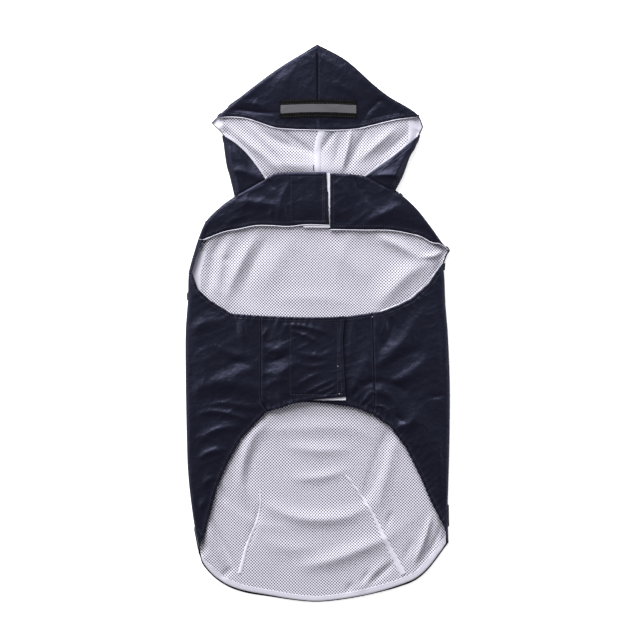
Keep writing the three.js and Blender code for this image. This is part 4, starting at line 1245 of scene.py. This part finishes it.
def side_wrap(name, node, rows, side, height, roll, rolled):
    """Side of the coat, folded over from the back to the leg opening, belly seam and arch. Its
    facing rolls out along the leg opening, down to the belly seam."""
    us, vs = steps(75, 1.3, "body", "hem"), steps(370, 1.4)
    left = stations(fold_points(side, rows))
    ease = [roll * float(smooth(y, 11, 26)) for _, _, y in rows]
    right = stations([(x - 0.7 * e, y + 0.7 * e) for (_, x, y), e in zip(rows, ease)])
    flat = left(vs)[:, None] * (1 - us[None, :, None]) + right(vs)[:, None] * us[None, :, None]
    grid = drop_to(raised(flat, height), 0, BODY_FOLD)
    piece = wall(name, grid, 0, CLOTH, 1, [SHELL, MESH, PRESSED], None, rolled)
    return dress(piece, [node])


def belly_flap(name, node, cut, left, right, height, ends):
    """One of the two flaps that overlap at the middle of the belly."""
    us, vs = steps(95, 1.1, *ends), steps(95, 1.1, "hem", "hem")
    flat = panel(curve(cut["top"]), curve(cut["bottom"]), stations(cut[left]), stations(cut[right]), us, vs)
    piece = wall(name, raised(flat, height), 0, CLOTH, 1, [SHELL, MESH])
    return dress(piece, [node])


def belly_loop_tape():
    """Loop tape on the right flap, under the left one."""
    us, vs = steps(59, 1.5), steps(88, 1.5)
    flat = rectangle(BELLY_TAPE, us, vs)
    flat[..., 0] -= 5.5 * us[None] * (1 - smooth(vs, 0.8, 0.96))[:, None]
    grid = raised(flat, belly_right_height)
    piece = wall("belly_loop_pile", grid, -1.3, -0.1, 1, [LOOP, LOOP])
    return dress(piece, ["belly_loop_tape"])


def chest_loop_tab():
    """Loop tape tab that the chest straps close on."""
    us, vs = steps(34, 1.5), steps(62, 1.5)
    grid = raised(rectangle(CHEST_TAB, us, vs), strap_left_height)
    piece = wall("chest_loop_tab_tape", grid, CLOTH + 0.1, CLOTH + 1.1, 1, [LOOP, LOOP])
    return dress(piece, ["chest_loop_tab"])


def hood_facing_zone(x, y):
    """Plain facing inside the two tips of the hood and along its face edge, wider on the left. The rest
    is mesh whose holes fade a little into plain cloth, which lightens it, most of all in a patch at the
    middle of the throat."""
    left, along, _ = nearest(x, y, FACE_EDGES[0])
    right = nearest(x, y, FACE_EDGES[1])[0]
    band = 1 - smooth(left, 2.6 - 0.02 * along, 3.4 - 0.02 * along)
    band = np.maximum(band, 1 - smooth(right, 1.2, 1.8))
    tips = np.maximum(smooth(-x, 108, 110), smooth(x, 104, 106))
    drawn = 0.02 + 0.3 * np.exp(-(((x - 2) / 14) ** 2)) * (1 - smooth(y, 190, 200))
    return np.maximum(np.maximum(band, tips), drawn)


def hood_half(hand, half, neck_part, collar, sign):
    """The four pieces of one half of the hood: the back on the floor, its lining, the crown and the side."""
    back_us, back_vs = steps(125, 1.9, "seam", "hood"), steps(120, 1.9, "hood", "seam")
    line_us, line_vs = steps(125, 1.5, "seam", "hood"), steps(120, 1.5, "hood", None)
    centre = stations([half["crown_fold"][0], tuple(neck_part(0.0))])
    shape = (curve(half["crown_fold"]), neck_part, centre, curve(half["back"]))
    back = raised(panel(*shape, back_us, back_vs), hood_back_height)
    inner_top = inset(curve(half["crown_fold"]), -sign * HOOD_INSET)
    inner_side = inset(curve(half["back"]), -sign * HOOD_INSET)
    corner = (inner_top(1.0) + inner_side(0.0)) / 2
    inner_top = fitted(inner_top, inner_top(0.0) * (0, 1), corner)
    inner_side = fitted(inner_side, corner, inner_side(1.0))
    inner_foot = fitted(neck_part, neck_part(0.0), inner_side(1.0))
    inner_centre = stations([inner_top(0.0), neck_part(0.0)])
    inner = panel(inner_top, inner_foot, inner_centre, inner_side, line_us, line_vs)
    lining = raised(inner, hood_lining_height)
    crown_top = curve(half["crown_fold"][:-1] + [half["crown_end"][0]])
    brow = let_out(half["crown_edge"], -1)
    crown_us, crown_vs = steps(140, 1.3, "seam"), steps(80, 1.3, "hood", "hem")
    crown_flat = panel(
        crown_top, curve(brow), stations([half["crown_fold"][0], brow[0]]),
        stations([half["crown_end"][0], brow[-1]]), crown_us, crown_vs,
    )
    crown = raised(crown_flat, crown_height)
    first = crown[:1].copy()
    first[..., 2] = HOOD_FOLD
    crown = np.concatenate([first, crown])
    side_us, side_vs = steps(35, 1.0, "hood", "hem"), steps(60, 1.1, None, "seam")
    side_flat = panel(
        stations([half["side_fold"][0], half["face_edge"][0]]), collar,
        curve(half["side_fold"]), curve(half["face_edge"]), side_us, side_vs,
    )
    side = drop_to(raised(side_flat, hood_side_height), 0, HOOD_FOLD)
    names = [f"hood_{part}_{hand}" for part in ("back", "lining", "crown", "side")]
    near, far = LINING_NEAR, LINING_FAR
    rolled = beyond(CROWN_EDGES, [1, -1])
    walls = [
        wall(f"{names[0]}_cloth", back, 0, CLOTH, -1, [SHELL, SHELL]),
        wall(f"{names[1]}_cloth", lining, near, far, -1, [MESH, MESH], hood_facing_zone, level=True),
        wall(f"{names[2]}_cloth", crown, 0, CLOTH, 1, [SHELL, MESH, PRESSED], None, rolled),
        wall(f"{names[3]}_cloth", side, 0, CLOTH, 1, [SHELL, MESH]),
    ]
    cuts = [
        ("shell", (0.13, 0.19), 0.0152, "studio_floor"),
        ("mesh_lining", (0.13, 0.19), 0.0150, f"{names[0]}_cloth"),
        ("shell", (0.145, 0.115), 0.0078, f"{names[0]}_cloth"),
        ("shell", (0.06, 0.085), 0.0023, f"{names[0]}_cloth"),
    ]
    for name, piece, (slot, flat, area, under) in zip(names, walls, cuts):
        dress(piece, [name])


def hood_seam_tape():
    """Plain tape over the centre seam, on the lining: a wide V in sight, drawn together at the throat."""
    us, vs = np.linspace(0, 1, 11), steps(136, 1.5)
    grid = raised(tape_grid(SEAM_TAPE, us, vs), hood_lining_height)
    grid[..., 2] += 0.9 * np.sin(math.pi * us)[None] ** 0.6 - 0.75
    near = LINING_FAR + 0.05
    piece = wall("hood_seam_tape_woven", grid, near, near + TAPE, -1, [PRESSED, PRESSED], level=True)
    return dress(piece, ["hood_seam_tape"])


def reflective(name, node, height, near, far, material, overhang=0.0):
    """Tape across the crown, arched a little, a black base or the silver strip on it."""
    us, vs = steps(86.5, 1.2), steps(height, 1.2)
    left, right = REFLECTIVE_LEFT - overhang, REFLECTIVE_RIGHT + overhang
    x = left + (right - left) * us[None] + 0 * vs[:, None]
    arch = REFLECTIVE_ARCH * np.sin(math.pi * us)[None]
    y = REFLECTIVE_Y + arch + (0.5 - vs)[:, None] * height
    grid = raised(np.dstack([x, y]), crown_arch)
    piece = wall(name, grid, near, far, 1, [material, material])
    return dress(piece, [node])


def stitches(name, rows, height, material, pitch=3.0, long=2.1, thick=0.55):
    """Rows of sewing stitches joined in one mesh. Each is a spindle of six sides from one needle
    hole to the next, 2.1 mm of thread showing in every 3 mm, lying on the cloth at its height."""
    starts, ends = [], []
    for line in rows:
        at = np.concatenate([[0], np.cumsum(np.linalg.norm(np.diff(line, axis=0), axis=1))])
        middle = np.arange(pitch / 2, at[-1], pitch)
        for shift, out in ((-long / 2, starts), (long / 2, ends)):
            out.append(np.stack([np.interp(middle + shift, at, line[:, k]) for k in (0, 1)], axis=1))
    a, b = (raised(np.vstack(part)[:, None], height)[:, 0] for part in (starts, ends))
    along = b - a
    side = np.stack([-along[:, 1], along[:, 0], 0 * along[:, 0]], axis=1)
    side /= np.linalg.norm(side, axis=1, keepdims=True)
    up = np.cross(along, side)
    up /= np.linalg.norm(up, axis=1, keepdims=True)
    turn = np.linspace(0, 2 * math.pi, 6, endpoint=False)
    rings = []
    for share, width, lift in ((0, 0.4, -0.1), (0.2, 1, 0.12), (0.8, 1, 0.12), (1, 0.4, -0.1)):
        centre = a + along * share + up * lift
        ring = side[:, None] * np.cos(turn)[None, :, None] + up[:, None] * np.sin(turn)[None, :, None]
        rings.append(centre[:, None] + ring * width * thick / 2)
    vertices = np.stack(rings, axis=1).reshape(-1, 3)
    quads = []
    for ring in range(3):
        for k in range(6):
            here, there = 6 * ring + k, 6 * ring + (k + 1) % 6
            quads.append((here, there, there + 6, here + 6))
    quads += [(3, 2, 1, 0), (5, 4, 3, 0), (18, 19, 20, 21), (18, 21, 22, 23)]
    faces = (np.array(quads)[None] + 24 * np.arange(len(a))[:, None, None]).reshape(-1, 4)
    piece = mesh_object(name, vertices, faces, [material])
    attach(piece, "root")
    return piece


def box_rows(left, right, top, foot):
    """Four rows of stitches round a rectangle."""
    corners = [(left, top), (right, top), (right, foot), (left, foot), (left, top)]
    return [np.array(pair, float) for pair in zip(corners[:-1], corners[1:])]


def all_stitches():
    """The rows of stitches that show: hems, the boxes that hold the loop tapes, the strip and the facing."""
    deep = HEM_BAND - 0.8
    stitches(
        "hood_crown_stitches",
        [trimmed(beside(CROWN_EDGES[0], -deep), 0, 8), trimmed(beside(CROWN_EDGES[1], deep), 1, 8)],
        crown_height, NAVY_STITCH,
    )
    stitches(
        "hood_side_stitches",
        [trimmed(beside(FACE_EDGES[0], -deep), 6, 8), trimmed(beside(FACE_EDGES[1], deep), 6, 8)],
        hood_side_height, NAVY_STITCH,
    )
    end = np.array([(STRAP_END_LEFT - deep, 170.0), (12.6 - deep, 117.0)])
    stitches(
        "chest_strap_left_stitches",
        [trimmed(beside(STRAP_FOOT_LEFT, deep), 9, 3), end] + box_rows(*CHEST_BOX),
        strap_left_height, NAVY_STITCH,
    )
    end = np.array([(STRAP_END_RIGHT + deep, 168.0), (STRAP_END_RIGHT + deep, 111.5)])
    stitches(
        "chest_strap_right_stitches", [trimmed(beside(STRAP_FOOT_RIGHT, deep), 4, 26), end],
        strap_right_height, NAVY_STITCH,
    )
    stitches(
        "belly_left_stitches",
        [
            trimmed(beside(LEG_EDGE_LEFT, -deep), 8, 3), trimmed(beside(ARCH_LEFT, -deep), 3, 16),
            trimmed(beside(FLAP_END, -deep), 4, 4),
        ]
        + box_rows(*BELLY_BOX),
        belly_left_height, NAVY_STITCH,
    )
    stitches(
        "belly_right_stitches",
        [trimmed(beside(LEG_EDGE_RIGHT, deep), 12, 36), trimmed(beside(ARCH_RIGHT, deep), 66, 28)],
        belly_right_height, NAVY_STITCH,
    )
    x = np.linspace(REFLECTIVE_LEFT + 1, REFLECTIVE_RIGHT - 1, 60)
    share = (x - REFLECTIVE_LEFT) / (REFLECTIVE_RIGHT - REFLECTIVE_LEFT)
    arch = REFLECTIVE_Y + REFLECTIVE_ARCH * np.sin(math.pi * share)
    stitches(
        "reflective_stitches", [np.stack([x, arch + gap], axis=1) for gap in (-9, -5.6, 5.6, 9)],
        lambda x, y: crown_arch(x, y) + 1.0, BLACK_STITCH,
    )
    shares = np.linspace(0.03, 0.97, 140)
    down = 1 - (facing_share(shares) - 1.0) / BACK_LENGTH
    row = np.array([lining_grid(shares[k : k + 1], down[k : k + 1])[0, 0] for k in range(len(shares))])
    stitches(
        "hem_facing_stitches", [row], lambda x, y: lining_height(x, y) + LINING_FAR + 0.15,
        WHITE_STITCH,
    )
    knots = [np.array([(x - 1.5, y), (x + 1.5, y)]) for x, y in ((25, -81), (23.5, -49.5), (63, 7))]
    stitches(
        "white_thread_knots", knots, lambda x, y: belly_left_height(x, y) + 0.1,
        WHITE_STITCH, 3.0, 1.0, 0.9,
    )
    slit = np.array([(-4.4, 182.0), (-4.4, 174.0)])
    stitches(
        "leash_slit_stitches", [slit], lambda x, y: hood_lining_height(x, y) + LINING_FAR + 0.1,
        NAVY_STITCH, 8.0, 7.4, 1.3,
    )


def build_coat():
    """Every cloth piece of the coat, from the floor up."""
    back_shell()
    back_lining()
    hem_facing()
    dart_tape("dart_tape_left_woven", "dart_tape_left", DART_LEFT)
    dart_tape("dart_tape_right_woven", "dart_tape_right", DART_RIGHT)
    hood_half("left", HOOD_LEFT, stretch(neck, nape, 0), collar_left, -1)
    hood_half("right", HOOD_RIGHT, stretch(neck, nape, 1), collar_right, 1)
    hood_seam_tape()
    chest_loop_tab()
    strap_right()
    strap_left()
    side_wrap(
        "side_wrap_left_cloth", "side_wrap_left", WRAP_LEFT, SIDE_LEFT, belly_left_height, 0, None,
    )
    side_wrap(
        "side_wrap_right_cloth", "side_wrap_right", WRAP_RIGHT, SIDE_RIGHT, belly_right_height,
        EDGE_ROLL, beyond([LEG_EDGE_RIGHT], [-1]),
    )
    belly_flap(
        "belly_flap_right_cloth", "belly_flap_right", FLAP_RIGHT, "end", "seam", belly_right_height,
        ("hem", "seam"),
    )
    belly_loop_tape()
    belly_flap(
        "belly_flap_left_cloth", "belly_flap_left", FLAP_LEFT, "seam", "end", belly_left_height,
        ("seam", "hem"),
    )
    reflective(
        "reflective_base_tape", "reflective_base", 20.5, -0.9, -0.05, BLACK_TAPE, 1.0,
    )
    reflective("reflective_strip_film", "reflective_strip", 9.2, -1.5, -0.95, FILM)
    all_stitches()


def studio():
    """Plain pale floor, soft lights on both sides and a dim room."""
    size = 6.0
    corners = np.array([(-size, -size), (size, -size), (size, size), (-size, size)]) / 2
    mesh = bpy.data.meshes.new("studio_floor")
    mesh.from_pydata([(x, y, -0.0006) for x, y in corners], [], [(0, 1, 2, 3)])
    floor = bpy.data.objects.new("studio_floor", mesh)
    bpy.context.scene.collection.objects.link(floor)
    material, tree, _ = new_material("matt_white_floor")
    finish_material(tree, {
        "Base Color": linear(FLOOR),
        "Roughness": 0.9,
        "Emission Color": linear(FLOOR),
        "Emission Strength": 0.7,
    })
    mesh.materials.append(material)
    world = bpy.data.worlds.new("dim_room")
    world.use_nodes = True
    world.node_tree.nodes["Background"].inputs["Color"].default_value = (0.95, 0.97, 1.0, 1)
    world.node_tree.nodes["Background"].inputs["Strength"].default_value = 0.05
    bpy.context.scene.world = world
    lights = [
        ("softbox_head", (-1.15, 3.2, 2.15), 3.2, 315),
        ("softbox_left", (-1.9, 0.0, 1.5), 1.2, 12),
        ("softbox_right", (1.9, 0.0, 1.5), 1.2, 12),
    ]
    for name, place, width, power in lights:
        data = bpy.data.lights.new(name, "AREA")
        data.shape = "SQUARE"
        data.size = width
        data.energy = power
        light = bpy.data.objects.new(name, data)
        light.location = place
        light.rotation_euler = (-Vector(place)).to_track_quat("-Z", "Y").to_euler()
        bpy.context.scene.collection.objects.link(light)


def photo_camera():
    """Long lens straight above, 733 mm of the table across the frame at the height of the cloth."""
    data = bpy.data.cameras.new("photo_camera")
    data.sensor_width = 36
    data.lens = 200
    data.clip_start = 0.05
    data.clip_end = 50
    camera = bpy.data.objects.new("photo_camera", data)
    half_width = 0.3665
    away = half_width * data.lens / (data.sensor_width / 2)
    camera.location = (3.05 * MM + TO_FRAME[0], 3.45 * MM + TO_FRAME[1], away + 0.01)
    bpy.context.scene.collection.objects.link(camera)
    bpy.context.scene.camera = camera


bpy.context.scene.view_settings.view_transform = "Standard"
photo_camera()
build_coat()
studio()
